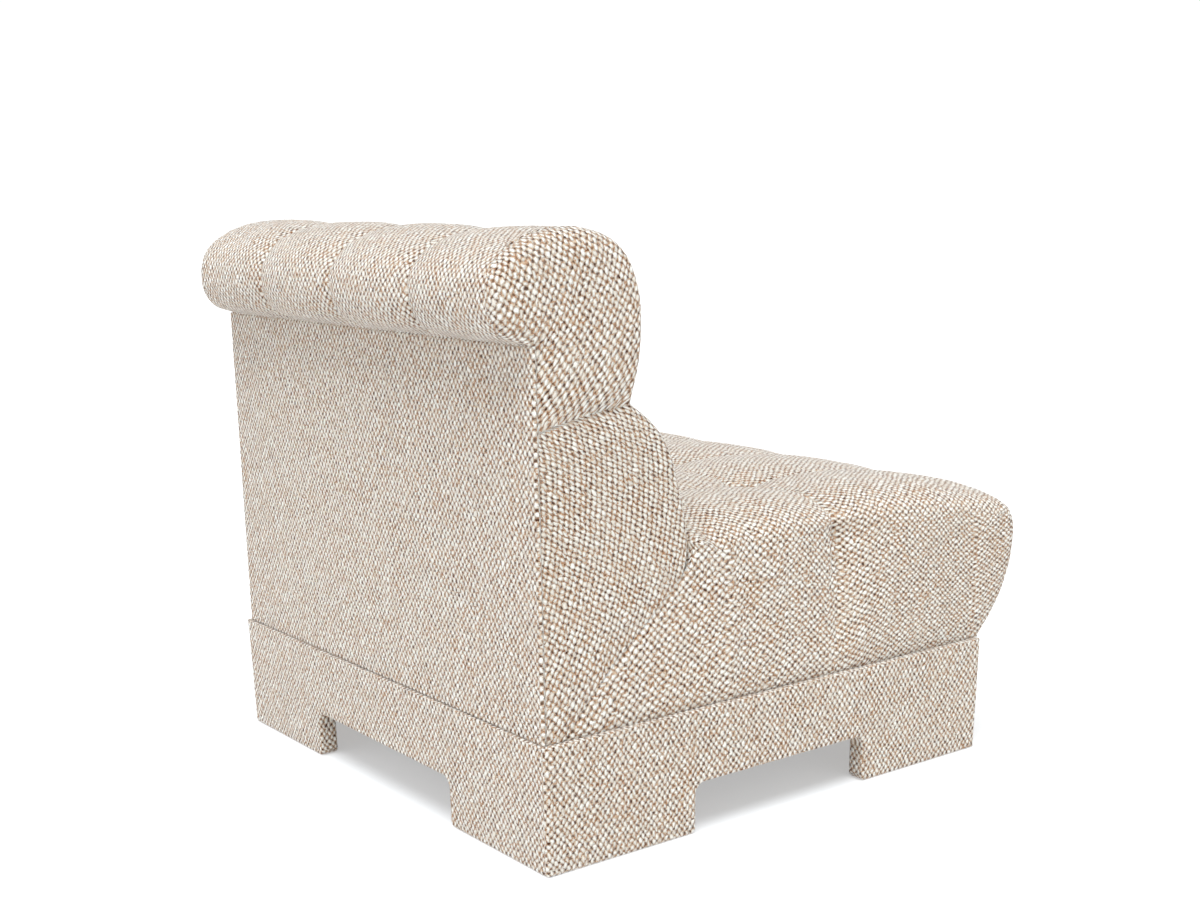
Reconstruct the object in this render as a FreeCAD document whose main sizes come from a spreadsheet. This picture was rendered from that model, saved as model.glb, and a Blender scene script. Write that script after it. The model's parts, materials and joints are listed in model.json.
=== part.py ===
import FreeCAD, Part
import math
import os
import re
from collections import namedtuple

import Sketcher

# Armless lounge chair: a fabric-wrapped plinth with an arched cut-out in each side, a tufted
# seat and a channelled back that ends in a fat roll. All sizes are in millimetres.
#
# Frame: X runs across the chair, the sitter faces -Y, Z is up and zero is the floor. The origin
# lies under the middle of the chair's outline. "Reach" is the distance forward of the plane of
# the outside back, and "rise" is the height above the top of the plinth.

DIMENSIONS = [
    # Plinth
    ("plinth_width", 800, "width over the fabric at the floor"),
    ("plinth_depth", 764, "depth over the fabric at the floor"),
    ("plinth_height", 165, "floor to the top of the plinth"),
    ("plinth_flare", 3, "lean outward of each face at the top"),
    ("plinth_corner", 9, "radius of the upright corners"),
    ("arch_height", 67, "floor to the top of each cut-out"),
    ("arch_corner", 15, "radius of the cut-out's upper corners"),
    ("foot_across", 221, "length of a foot along the front and back"),
    ("foot_along", 232, "length of a foot along the sides"),
    ("board", 18, "plywood thickness of the plinth"),
    ("wrap", 4.5, "fabric with its thin wadding"),
    ("turn_in", 25, "fabric turned up inside, above the cut-outs"),
    ("block_side", 45, "side of a square corner block"),
    ("block_gap", 3, "turned-in fabric to corner block"),
    ("notch_play", 1, "dust cloth's notch wider than a corner block"),
    ("glide_height", 3, "thickness of a glide's foot"),
    ("glide_diameter", 22, "diameter of a glide's foot"),
    ("glide_pin", 2.5, "diameter of a glide's pin"),
    ("glide_pin_length", 14, "depth of the pin in the plywood"),
    ("glide_setback", 20, "glide centre to the end of a foot"),
    # Timber frame
    ("body_inset", 6, "upholstery inside the plinth's faces, each side"),
    ("stock", 24, "thickness of the hardwood and of the side formers"),
    ("rail_height", 80, "height of the seat rails"),
    ("rail_setback", 7, "front rail behind the plinth's front face"),
    ("brace_leg", 90, "leg of a triangular corner brace"),
    ("post_depth", 70, "depth of a back post"),
    ("back_rail_height", 60, "height of the lower and middle back rails"),
    ("middle_rail_rise", 225, "plinth top to the underside of the middle rail"),
    ("frame_drop", 1, "top of the frame below the roll's rear seam"),
    ("outside_board", 3, "hardboard of the outside back"),
    ("tack_strip_height", 5, "card strip above the hardboard"),
    # Seat suspension
    ("spring_count", 6, "sinuous springs"),
    ("spring_pitch", 110, "spacing of the springs"),
    ("spring_wire", 3.8, "wire diameter"),
    ("spring_half_width", 24, "half of a straight run between turns"),
    ("spring_turns", 30, "half turns of one spring"),
    ("clip_plate", 1.5, "thickness of a spring clip"),
    ("clip_width", 20, "width of a spring clip"),
    ("clip_depth", 14, "depth of a spring clip"),
    ("deck", 3, "felt sheet over the springs"),
    # Soft forms of the seat
    ("pad", 14, "quilted cover: fabric, wadding and soft foam"),
    ("seat_rear_play", 2.4, "seat filling ahead of the lower back cover"),
    ("seat_toe", 20, "seat's lower front edge ahead of the plinth"),
    ("seat_overhang", 85, "furthest point of the seat ahead of the plinth"),
    ("seat_nose_rise", 149, "rise of that furthest point"),
    ("seat_shoulder", 52, "upper front edge ahead of the plinth"),
    ("seat_shoulder_rise", 199, "rise of the upper front edge"),
    ("seat_seam_reach", 490, "reach of the seam across the seat"),
    ("seat_seam_rise", 223, "rise of the seam across the seat"),
    ("seat_back_rise", 220, "rise of the seat where the back meets it"),
    ("seat_front_bow", 12, "bulge of the lower front"),
    ("seat_nose_bow", 9.5, "bulge of the upper front"),
    ("front_crown", 34, "bulge of the front row of pads"),
    ("rear_crown", 22, "bulge of the rear row of pads"),
    ("seat_side_roll", 26, "rounding of the seat's side edges"),
    # Soft forms of the back
    ("lumbar_reach", 232, "furthest point of the lower back"),
    ("lumbar_rise", 214, "rise of that furthest point"),
    ("crease_reach", 223, "reach of the crease between seat and back"),
    ("crease_rise", 177, "rise of the crease between seat and back"),
    ("heel_reach", 48, "foot of the slanting side seam"),
    ("lumbar_bow", 26, "bulge of the lower back"),
    ("waist_reach", 147, "reach of the crease under the roll"),
    ("waist_rise", 397, "rise of the crease under the roll"),
    ("waist_rear_rise", 375, "rise of that crease at the outside back"),
    ("roll_front_reach", 165, "furthest point of the roll"),
    ("roll_front_rise", 492, "rise of that point"),
    ("roll_top_reach", 75, "reach of the roll's highest line"),
    ("roll_top_rise", 608, "rise of the roll's highest line"),
    ("roll_overhang", 48, "roll behind the outside back"),
    ("roll_rear_rise", 523, "rise of the roll's rearmost line"),
    ("roll_seam_rise", 473, "rise of the seam under the roll at the rear"),
    ("roll_neck_bow", 5, "bulge of the roll's lower front"),
    ("roll_front_bow", 30, "bulge of the roll's upper front"),
    ("roll_rear_bow", 32, "bulge of the roll's upper rear"),
    ("roll_under_bow", 12.5, "bulge of the roll's underside"),
    ("back_side_roll", 12, "rounding of the back's side edges"),
    ("side_crease_depth", 5, "depth of the crease in the back's end panels"),
    ("channel_dip", 7, "depth of the seams that part the columns"),
    ("column_count", 4, "columns of pads across the chair"),
    ("column_pitch", 197, "spacing of the seams that part the columns"),
    ("tube_diameter", 90, "card tube in the roll"),
    ("tube_wall", 4, "wall of the card tube"),
    ("plug", 18, "thickness of the tube's end plugs"),
    ("webbing", 2, "thickness of the elastic webbing"),
    ("webbing_width", 50, "width of a webbing strap"),
    ("webbing_pitch", 140, "spacing of the upright straps"),
    ("upright_straps", 4, "upright straps behind the lower back"),
    ("cross_straps", 3, "straps across them"),
    # Fasteners and small parts
    ("screw", 4.5, "plinth screw shank"),
    ("screw_head", 9, "plinth screw head"),
    ("screw_length", 50, "plinth screw length"),
    ("screw_low", 45, "height of the lower plinth screws"),
    ("screw_high", 130, "height of the upper plinth screws"),
    ("coach_screw", 6, "screw that ties the seat frame to the plinth"),
    ("coach_head", 10, "diameter of its round head"),
    ("coach_head_height", 5, "height of its head"),
    ("coach_grip", 40, "its length in the seat rail"),
    ("coach_setback", 12.5, "its distance inside the plinth board"),
    ("bolt", 8, "bolt that ties a back post to a seat rail"),
    ("bolt_head", 16, "diameter of its flat head"),
    ("bolt_head_height", 5, "height of its head"),
    ("bolt_spare", 3, "thread that stands past the nut"),
    ("bolt_reach", 55, "reach of the bolts"),
    ("bolt_low_rise", 22, "rise of the lower bolts"),
    ("bolt_high_rise", 56, "rise of the upper bolts"),
    ("nut_across", 13, "nut across its flats"),
    ("nut_height", 6.5, "nut height"),
    ("washer_diameter", 20, "washer outside diameter"),
    ("washer", 1.6, "washer thickness"),
    ("twine", 2, "diameter of the tufting twine"),
    ("dust_cloth", 0.8, "cloth under the seat frame"),
    ("dust_edge", 3.5, "dust cloth inside the plinth boards"),
    ("staple", 0.6, "thickness of a staple's crown"),
    ("staple_length", 10, "length of a staple's crown"),
    ("staple_gap", 60, "least spacing of the staples"),
    ("staple_edge", 6, "staples inside the edge of the dust cloth"),
    ("hole_play", 0.2, "radial play in a hole"),
    ("gap", 0.3, "clearance between a soft form and its neighbour"),
]

doc = FreeCAD.newDocument("LoungeChair")
sheet = doc.addObject("Spreadsheet::Sheet", "Sizes")
for row, (alias, value, note) in enumerate(DIMENSIONS, start=1):
    sheet.set(f"A{row}", alias)
    sheet.set(f"B{row}", str(value))
    sheet.setAlias(f"B{row}", alias)
    sheet.set(f"C{row}", note)
doc.recompute()

NAMES = {alias for alias, value, note in DIMENSIONS}
S = {alias: float(sheet.get(alias)) for alias in NAMES}
NODES = []

# Places that several pieces share, as expressions of the cells.
BACK = "((plinth_depth + seat_overhang - roll_overhang) / 2)"
BOARD_OUTER = "(plinth_width / 2 - wrap)"
BOARD_INNER = "(plinth_width / 2 - wrap - board)"
BOARD_FOOT = "(glide_height + wrap)"
FRAME_SIDE = "(plinth_width / 2 - body_inset - pad)"
FRAME_INNER = "(plinth_width / 2 - body_inset - pad - stock)"
POST_INNER = "(plinth_width / 2 - body_inset - pad - 2 * stock)"
FRAME_REAR = "(wrap + outside_board)"
POST_FRONT = "(wrap + outside_board + post_depth)"
FRONT_RAIL = "(plinth_depth - rail_setback)"
RAIL_TOP = "(plinth_height + rail_height)"
FRAME_TOP = "(plinth_height + roll_seam_rise - frame_drop)"
CLIP_TOP = "(plinth_height + rail_height + 2 * clip_plate + spring_wire + gap)"
DECK_TOP = "(plinth_height + rail_height + 2 * clip_plate + spring_wire + 2 * gap + deck)"
WEBBING_FRONT = "(wrap + outside_board + post_depth + 2 * webbing)"

ROTATIONS = {
    "up": FreeCAD.Rotation(),
    "right": FreeCAD.Rotation(FreeCAD.Vector(0, 1, 0), 90),
    "left": FreeCAD.Rotation(FreeCAD.Vector(0, 1, 0), -90),
    "forward": FreeCAD.Rotation(FreeCAD.Vector(1, 0, 0), 90),
    "rearward": FreeCAD.Rotation(FreeCAD.Vector(1, 0, 0), -90),
}


def cells(text):
    """The expression with the sheet's name before each of its aliases."""
    return re.sub(r"[a-z_]+", lambda m: f"Sizes.{m[0]}" if m[0] in NAMES else m[0], text)


def bind(thing, **sizes):
    for name, text in sizes.items():
        thing.setExpression(name, cells(text))
    return thing


def place(thing, x, reach, z, turn="up"):
    """Puts thing's own origin at x, reach and z, each an expression, with its +Z axis turned."""
    thing.Placement = FreeCAD.Placement(FreeCAD.Vector(), ROTATIONS[turn])
    thing.setExpression("Placement.Base.x", cells(f"{x}"))
    thing.setExpression("Placement.Base.y", cells(f"{BACK} - ({reach})"))
    thing.setExpression("Placement.Base.z", cells(f"{z}"))
    return thing


def keep(thing, label):
    """Marks thing as one of the chair's sub-parts, under its own label."""
    thing.Label = label
    NODES.append(thing)
    return thing


def slab(name, across, reach, height):
    """A box between two expressions along each axis."""
    box = doc.addObject("Part::Box", name)
    bind(
        box,
        Length=f"({across[1]}) - ({across[0]})",
        Width=f"({reach[1]}) - ({reach[0]})",
        Height=f"({height[1]}) - ({height[0]})",
    )
    return place(box, across[0], reach[1], height[0])


def rod(name, radius, length, x, reach, z, turn="up"):
    cylinder = doc.addObject("Part::Cylinder", name)
    bind(cylinder, Radius=radius, Height=length)
    return place(cylinder, x, reach, z, turn)


def cone(name, wide, narrow, length, x, reach, z, turn):
    """A cone that starts wide and narrows along its axis."""
    head = doc.addObject("Part::Cone", name)
    bind(head, Radius1=wide, Radius2=narrow, Height=length)
    return place(head, x, reach, z, turn)


def group(name, members):
    compound = doc.addObject("Part::Compound", name)
    compound.Links = members
    return compound


def fuse(name, members):
    joined = doc.addObject("Part::MultiFuse", name)
    joined.Shapes = members
    return joined


def cut(name, base, tools):
    """base less all of tools."""
    result = doc.addObject("Part::Cut", name)
    result.Base = base
    result.Tool = group(f"{name}_tools", tools)
    return result


def solid_of(name, shape):
    """An object for a shape that is made with Part's own functions."""
    feature = doc.addObject("Part::Feature", name)
    feature.Shape = shape
    return feature


def side_name(sign):
    return "right" if sign > 0 else "left"


def signed(sign, text):
    return f"({text})" if sign > 0 else f"(0 - ({text}))"


# Numbers that the soft forms share, from the same cells.
BACK_Y = (S["plinth_depth"] + S["seat_overhang"] - S["roll_overhang"]) / 2
PLINTH_TOP = S["plinth_height"]
BODY_SIDE = S["plinth_width"] / 2 - S["body_inset"]
FRAME_SIDE_X = BODY_SIDE - S["pad"]
FRAME_INNER_X = FRAME_SIDE_X - S["stock"]
FRAME_REAR_REACH = S["wrap"] + S["outside_board"]
WEBBING_FRONT_REACH = FRAME_REAR_REACH + S["post_depth"] + 2 * S["webbing"]
FRAME_TOP_Z = PLINTH_TOP + S["roll_seam_rise"] - S["frame_drop"]
CLIP_TOP_Z = PLINTH_TOP + S["rail_height"] + 2 * S["clip_plate"] + S["spring_wire"] + S["gap"]
DECK_TOP_Z = CLIP_TOP_Z + S["gap"] + S["deck"]
TUBE_CENTRE_Z = FRAME_TOP_Z + S["gap"] + S["tube_diameter"] / 2
TUBE_REACH = (S["roll_front_reach"] - S["roll_overhang"]) / 2
FAR = 2 * S["plinth_width"]


# Sketched boards

def plane_of(body, role):
    return next(f for f in body.Origin.OriginFeatures if f.Role == role)


def polygon_sketch(body, role, points):
    """A closed polygon on one of the body's origin planes, with its corners joined."""
    sketch = body.newObject("Sketcher::SketchObject", f"{body.Name}_outline")
    sketch.AttachmentSupport = (plane_of(body, role), [""])
    sketch.MapMode = "FlatFace"
    corners = [FreeCAD.Vector(x, y, 0) for x, y in points]
    for start, end in zip(corners, corners[1:] + corners[:1]):
        sketch.addGeometry(Part.LineSegment(start, end), False)
    for line in range(len(points)):
        following = (line + 1) % len(points)
        sketch.addConstraint(Sketcher.Constraint("Coincident", line, 2, following, 1))
    return sketch


def dimension(sketch, name, constraint, text):
    index = sketch.addConstraint(constraint)
    sketch.renameConstraint(index, name)
    sketch.setExpression(f"Constraints.{name}", cells(text))


def arched_board(name, length, foot, sizes):
    """A plywood board on edge, with a round-cornered cut-out at the middle of its lower edge.

    length and foot are expressions, and sizes holds the same two as numbers to start from.
    """
    half = sizes[0] / 2
    arch = half - sizes[1]
    rise = S["arch_height"] - S["glide_height"]
    top = S["plinth_height"] - S["glide_height"] - S["wrap"]
    body = doc.addObject("PartDesign::Body", name)
    left = [(-half, 0), (-arch, 0), (-arch, rise)]
    right = [(arch, rise), (arch, 0), (half, 0)]
    outline = polygon_sketch(body, "XZ_Plane", left + right + [(half, top), (-half, top)])
    for line in (0, 4, 6):
        outline.addConstraint(Sketcher.Constraint("Horizontal", line))
    for line in (1, 3, 5, 7):
        outline.addConstraint(Sketcher.Constraint("Vertical", line))
    outline.addConstraint(Sketcher.Constraint("PointOnObject", 0, 1, -1))
    outline.addConstraint(Sketcher.Constraint("Symmetric", 0, 1, 4, 2, -2))
    outline.addConstraint(Sketcher.Constraint("Symmetric", 1, 2, 2, 2, -2))
    dimension(outline, "length", Sketcher.Constraint("DistanceX", 0, 1, 4, 2, 2 * half), length)
    dimension(outline, "foot", Sketcher.Constraint("DistanceX", 0, 1, 0, 2, half - arch), foot)
    dimension(
        outline,
        "arch",
        Sketcher.Constraint("DistanceY", 1, 1, 1, 2, rise),
        "arch_height - glide_height",
    )
    dimension(
        outline,
        "height",
        Sketcher.Constraint("DistanceY", 5, 1, 5, 2, top),
        "plinth_height - glide_height - wrap",
    )
    pad = body.newObject("PartDesign::Pad", f"{name}_pad")
    pad.Profile = outline
    bind(pad, Length="board")
    doc.recompute()
    corners = [
        f"Edge{number}"
        for number, edge in enumerate(pad.Shape.Edges, start=1)
        if abs(edge.Vertexes[0].Z - rise) < 0.01
        and abs(edge.Vertexes[-1].Z - rise) < 0.01
        and abs(abs(edge.Vertexes[0].X) - arch) < 0.01
        and abs(edge.Vertexes[0].X - edge.Vertexes[-1].X) < 0.01
    ]
    fillet = body.newObject("PartDesign::Fillet", f"{name}_corners")
    fillet.Base = (pad, corners)
    bind(fillet, Radius="arch_corner + wrap")
    return body


def triangle_block(name):
    """A right-angled triangle of board, its square corner at the origin and its legs along +X and +Y."""
    leg = S["brace_leg"]
    body = doc.addObject("PartDesign::Body", name)
    outline = polygon_sketch(body, "XY_Plane", [(0, 0), (leg, 0), (0, leg)])
    outline.addConstraint(Sketcher.Constraint("Horizontal", 0))
    outline.addConstraint(Sketcher.Constraint("Vertical", 2))
    outline.addConstraint(Sketcher.Constraint("Coincident", 0, 1, -1, 1))
    dimension(outline, "leg_x", Sketcher.Constraint("DistanceX", 0, 1, 0, 2, leg), "brace_leg")
    dimension(outline, "leg_y", Sketcher.Constraint("DistanceY", 2, 2, 2, 1, leg), "brace_leg")
    pad = body.newObject("PartDesign::Pad", f"{name}_pad")
    pad.Profile = outline
    bind(pad, Length="stock")
    return body


# Soft outlines
#
# An outline is a closed ring of knots, seen with the front of the chair to the right and run
# counterclockwise. Each knot has its reach and height, the way it moves when the form is drawn
# in, its share of a channel's dip, and the outward bulge of the stretch to the next knot.

Knot = namedtuple("Knot", "reach height toward share bow")


def moved(knot, inset, dip):
    travel = inset + knot.share * dip
    return (knot.reach + knot.toward[0] * travel, knot.height + knot.toward[1] * travel)


def at(x, spot):
    return FreeCAD.Vector(x, BACK_Y - spot[0], spot[1])


def outline_wire(knots, x, inset=0, dip=0):
    """The outline in the plane at x, drawn in by inset and dipped by a channel."""
    spots = [moved(knot, inset, dip) for knot in knots]
    edges = []
    for knot, start, end in zip(knots, spots, spots[1:] + spots[:1]):
        if not knot.bow:
            edges.append(Part.LineSegment(at(x, start), at(x, end)).toShape())
            continue
        run = (end[0] - start[0], end[1] - start[1])
        length = math.hypot(*run)
        middle = (
            (start[0] + end[0]) / 2 + knot.bow * run[1] / length,
            (start[1] + end[1]) / 2 - knot.bow * run[0] / length,
        )
        edges.append(Part.Arc(at(x, start), at(x, middle), at(x, end)).toShape())
    return Part.Wire(edges)


def prism(knots, half_width, inset=0):
    """The outline carried straight across from -half_width to half_width."""
    face = Part.Face(outline_wire(knots, -half_width, inset))
    return face.extrude(FreeCAD.Vector(2 * half_width, 0, 0))


def loft(knots, stations):
    """A solid through the outline at each (x, inset, dip)."""
    return Part.makeLoft([outline_wire(knots, *station) for station in stations], True)


def joined(shapes):
    return shapes[0].multiFuse(shapes[1:])


def block(x0, x1, reach0, reach1, z0, z1):
    corner = FreeCAD.Vector(x0, BACK_Y - reach1, z0)
    return Part.makeBox(x1 - x0, reach1 - reach0, z1 - z0, corner)


def seams():
    """The x of each seam between two columns."""
    count = int(S["column_count"]) - 1
    return [(number - (count - 1) / 2) * S["column_pitch"] for number in range(count)]


def columns(knots, edge, edge_inset):
    """One puffed pad for each column, out to x = edge, where the form is drawn in by edge_inset."""
    dip = S["channel_dip"]
    lines = seams()
    pads = [
        loft(knots, [(left, 0, dip), ((left + right) / 2, 0, 0), (right, 0, dip)])
        for left, right in zip(lines, lines[1:])
    ]
    outermost = lines[-1]
    crown = (outermost + edge) / 2
    for sign in (-1, 1):
        stations = [(sign * outermost, 0, dip), (sign * crown, 0, 0), (sign * edge, edge_inset, 0)]
        pads.append(loft(knots, stations))
    return pads


def side_rolls(knots, radius, steps=3):
    """The quarter-round side edges of a form that is BODY_SIDE wide."""
    rolls = []
    for sign in (-1, 1):
        angles = [math.pi / 2 * step / steps for step in range(steps + 1)]
        stations = [
            (sign * (BODY_SIDE - radius + radius * math.sin(angle)), radius * (1 - math.cos(angle)), 0)
            for angle in angles
        ]
        rolls.append(loft(knots, stations))
    return rolls


LEVEL = {name: PLINTH_TOP + S[name] for name in NAMES if name.endswith("_rise")}
FRONT = {name: S["plinth_depth"] + S[name] for name in ("seat_toe", "seat_overhang", "seat_shoulder")}

# The seat's rear side stays clear of the back, which bulges a little past its own knots.
SEAT_CLEAR = 2 * S["gap"]
SEAT_REAR = S["lumbar_reach"] + S["seat_rear_play"]

SEAT = [
    Knot(FRONT["seat_toe"], PLINTH_TOP, (-1, 0), 0.5, S["seat_front_bow"]),
    Knot(FRONT["seat_overhang"], LEVEL["seat_nose_rise"], (-1, 0), 1, S["seat_nose_bow"]),
    Knot(FRONT["seat_shoulder"], LEVEL["seat_shoulder_rise"], (-0.5, -0.85), 1, S["front_crown"]),
    Knot(S["seat_seam_reach"], LEVEL["seat_seam_rise"], (0, -1), 1, S["rear_crown"]),
    Knot(SEAT_REAR, LEVEL["seat_back_rise"], (0, -1), 1, 0),
    Knot(S["crease_reach"] + SEAT_CLEAR, LEVEL["crease_rise"], (0, 0), 0, 0),
    Knot(S["heel_reach"] + SEAT_CLEAR, PLINTH_TOP, (0, 0), 0, 0),
]

LUMBAR = [
    Knot(S["crease_reach"], LEVEL["crease_rise"], (-1, 0), 0.5, 0),
    Knot(S["lumbar_reach"], LEVEL["lumbar_rise"], (-1, 0), 1, S["lumbar_bow"]),
    Knot(S["waist_reach"], LEVEL["waist_rise"] - S["gap"], (-0.75, -0.66), 1, 0),
    Knot(WEBBING_FRONT_REACH, LEVEL["waist_rise"] - S["gap"], (0, 0), 0, 0),
    Knot(WEBBING_FRONT_REACH, LEVEL["crease_rise"], (0, 0), 0, 0),
]

ROLL = [
    Knot(S["waist_reach"], LEVEL["waist_rise"], (-1, 0), 1, S["roll_neck_bow"]),
    Knot(S["roll_front_reach"], LEVEL["roll_front_rise"], (-1, 0), 1, S["roll_front_bow"]),
    Knot(S["roll_top_reach"], LEVEL["roll_top_rise"], (0, -1), 1, S["roll_rear_bow"]),
    Knot(-S["roll_overhang"], LEVEL["roll_rear_rise"], (1, 0), 0.6, S["roll_under_bow"]),
    Knot(0, LEVEL["roll_seam_rise"], (0.6, 0.8), 0, 0),
    Knot(WEBBING_FRONT_REACH, LEVEL["roll_seam_rise"], (0, 0), 0, 0),
]


def behind(knots, corners):
    """The drawn-in front of an outline, closed by corners that lie well behind it."""
    return knots + [Knot(reach, height, (0, 0), 0, 0) for reach, height in corners]


# What the covers are hollowed by: the same outlines, carried on past their open sides.
SEAT_HOLLOW = behind(
    [SEAT[0]._replace(height=0, toward=(-1, 0), bow=0)] + SEAT[:4] + [SEAT[4]._replace(reach=0)],
    [(0, 0)],
)
LUMBAR_HOLLOW = behind(
    [LUMBAR[0]._replace(height=PLINTH_TOP, bow=0)] + LUMBAR[:3],
    [
        (S["waist_reach"] - 2 * S["pad"], LEVEL["roll_front_rise"]),
        (0, LEVEL["roll_front_rise"]),
        (0, PLINTH_TOP),
    ],
)
ROLL_HOLLOW = behind(
    ROLL[:5],
    [
        (S["wrap"] + S["pad"] / 2, LEVEL["waist_rear_rise"]),
        (S["waist_reach"] - S["pad"], LEVEL["lumbar_rise"]),
    ],
)


# Plinth

def plinth_boards():
    """Four plywood boards on edge, the front and back ones running the full width."""
    boards = {}
    across = "plinth_width - 2 * wrap"
    along = "plinth_depth - 2 * wrap - 2 * board"
    across_foot = "foot_across - 2 * wrap"
    along_foot = "foot_along - 2 * wrap - board"
    across_start = (S["plinth_width"] - 2 * S["wrap"], S["foot_across"] - 2 * S["wrap"])
    along_start = (
        S["plinth_depth"] - 2 * (S["wrap"] + S["board"]),
        S["foot_along"] - 2 * S["wrap"] - S["board"],
    )
    for end, reach in (("front", "plinth_depth - wrap - board"), ("back", "wrap")):
        blank = arched_board(f"plinth_{end}_blank", across, across_foot, across_start)
        place(blank, "0", reach, BOARD_FOOT)
        boards[end] = blank
    for sign in (-1, 1):
        name = side_name(sign)
        blank = arched_board(f"plinth_{name}_blank", along, along_foot, along_start)
        x = f"{BOARD_INNER}" if sign > 0 else f"0 - {BOARD_OUTER}"
        place(blank, x, "plinth_depth / 2", BOARD_FOOT)
        blank.Placement.Rotation = FreeCAD.Rotation(FreeCAD.Vector(0, 0, 1), 90)
        boards[name] = blank
    return boards


def plinth_screws():
    """Two countersunk screws at each corner, and the holes that they need."""
    screws = []
    holes = []
    half = "(plinth_width / 2 - wrap - board / 2)"
    for sign in (-1, 1):
        for end, reach, turn in (
            ("front", "plinth_depth - wrap", "rearward"),
            ("back", "wrap", "forward"),
        ):
            for level in ("screw_low", "screw_high"):
                name = f"screw_{side_name(sign)}_{end}_{level}"
                spot = (signed(sign, half), reach, level, turn)
                drop = "(screw_head - screw) / 2"
                head = cone(f"{name}_head", "screw_head / 2", "screw / 2", drop, *spot)
                shank = rod(f"{name}_shank", "screw / 2", "screw_length", *spot)
                screws.append(fuse(name, [head, shank]))
                head_hole = cone(
                    f"{name}_sink", "screw_head / 2 + hole_play", "screw / 2 + hole_play", drop, *spot
                )
                hole = rod(f"{name}_hole", "screw / 2 + hole_play", "screw_length + hole_play", *spot)
                holes += [head_hole, hole]
    keep(group("plinth_screws", screws), "plinth_screws")
    return holes


def glide_spots():
    """One glide at each corner of the plinth and one near each end of its feet."""
    middle = "(wrap + board / 2)"
    side = f"(plinth_width / 2 - {middle})"
    inner = "(plinth_width / 2 - foot_across + glide_setback)"
    spots = []
    for sign in (-1, 1):
        for reach in (middle, f"(plinth_depth - {middle})"):
            spots.append((signed(sign, side), reach))
            spots.append((signed(sign, inner), reach))
        for reach in ("(foot_along - glide_setback)", "(plinth_depth - foot_along + glide_setback)"):
            spots.append((signed(sign, side), reach))
    return spots


def foot_glides():
    """Nylon glides on pins, and the holes for the pins."""
    glides = []
    holes = []
    for number, (x, reach) in enumerate(glide_spots(), start=1):
        foot = rod(f"glide_{number}_foot", "glide_diameter / 2", "glide_height", x, reach, "0")
        length = "glide_height + wrap + glide_pin_length"
        pin = rod(f"glide_{number}_pin", "glide_pin / 2", length, x, reach, "0")
        glides.append(fuse(f"glide_{number}", [foot, pin]))
        holes.append(
            rod(
                f"glide_{number}_hole",
                "glide_pin / 2 + hole_play",
                "wrap + glide_pin_length + hole_play",
                x,
                reach,
                "glide_height",
            )
        )
    keep(group("foot_glides", glides), "foot_glides")
    return holes


def corner_blocks():
    """Square softwood blocks glued into the plinth's corners, flush with its top."""
    blanks = []
    for sign in (-1, 1):
        outer = BOARD_INNER
        inner = f"({BOARD_INNER} - block_side)"
        across = (inner, outer) if sign > 0 else (f"0 - {outer}", f"0 - {inner}")
        for end, reach in (
            ("front", ("plinth_depth - wrap - board - block_side", "plinth_depth - wrap - board")),
            ("back", ("wrap + board", "wrap + board + block_side")),
        ):
            height = ("arch_height + turn_in + block_gap", "plinth_height")
            blanks.append(slab(f"block_{side_name(sign)}_{end}", across, reach, height))
    return group("corner_block_blanks", blanks)


def rounded_rectangle(half_width, near, far, radius, z):
    """A wire at height z around the reaches near to far, with round corners."""
    low, high = BACK_Y - far, BACK_Y - near
    corners = [(half_width, low), (half_width, high), (-half_width, high), (-half_width, low)]
    wire = Part.makePolygon([FreeCAD.Vector(x, y, z) for x, y in corners + corners[:1]])
    face = Part.Face(wire)
    solid = face.extrude(FreeCAD.Vector(0, 0, 1))
    upright = [e for e in solid.Edges if abs(e.Vertexes[0].Z - e.Vertexes[-1].Z) > 0.5]
    rounded = solid.makeFillet(radius, upright)
    return next(f for f in rounded.Faces if abs(f.CenterOfMass.z - z) < 1e-6).OuterWire


def arch_tool(half_width, through_x):
    """The cut-out under one pair of opposite faces, running right through the plinth."""
    reach = S["plinth_depth"] / 2
    far = FAR
    height = S["arch_height"]
    if through_x:
        opening = block(-far, far, reach - half_width, reach + half_width, -height, height)
        direction = 0
    else:
        opening = block(-half_width, half_width, reach - far, reach + far, -height, height)
        direction = 1
    upper = [
        e
        for e in opening.Edges
        if e.BoundBox.ZMin > height - 0.01 and (e.BoundBox.XLength, e.BoundBox.YLength)[direction] > far
    ]
    return opening.makeFillet(S["arch_corner"], upper)


def plinth_cover(boards, pin_holes):
    """Fabric over thin wadding, wrapped round the boards, under them and a little way up inside."""
    half = S["plinth_width"] / 2
    depth = S["plinth_depth"]
    flare = S["plinth_flare"]
    foot = S["glide_height"]
    lower = rounded_rectangle(half, 0, depth, S["plinth_corner"], foot)
    upper = rounded_rectangle(half + flare, -flare, depth + flare, S["plinth_corner"], PLINTH_TOP)
    outer = Part.makeLoft([lower, upper], True)
    cheek = 2 * S["wrap"] + S["board"]
    inner = S["wrap"] + S["board"]
    turned = S["arch_height"] + S["turn_in"]
    well = block(cheek - half, half - cheek, cheek, depth - cheek, -foot, FAR)
    above_turn = block(inner - half, half - inner, inner, depth - inner, turned, FAR)
    arches = [
        arch_tool(half - S["foot_across"], False),
        arch_tool(depth / 2 - S["foot_along"], True),
    ]
    wood = [board.Shape for board in boards.values()]
    pins = [hole.Shape for hole in pin_holes]
    shape = outer.cut([well, above_turn] + arches + wood + pins)
    keep(solid_of("plinth_cover", shape), "plinth_cover")


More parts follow.
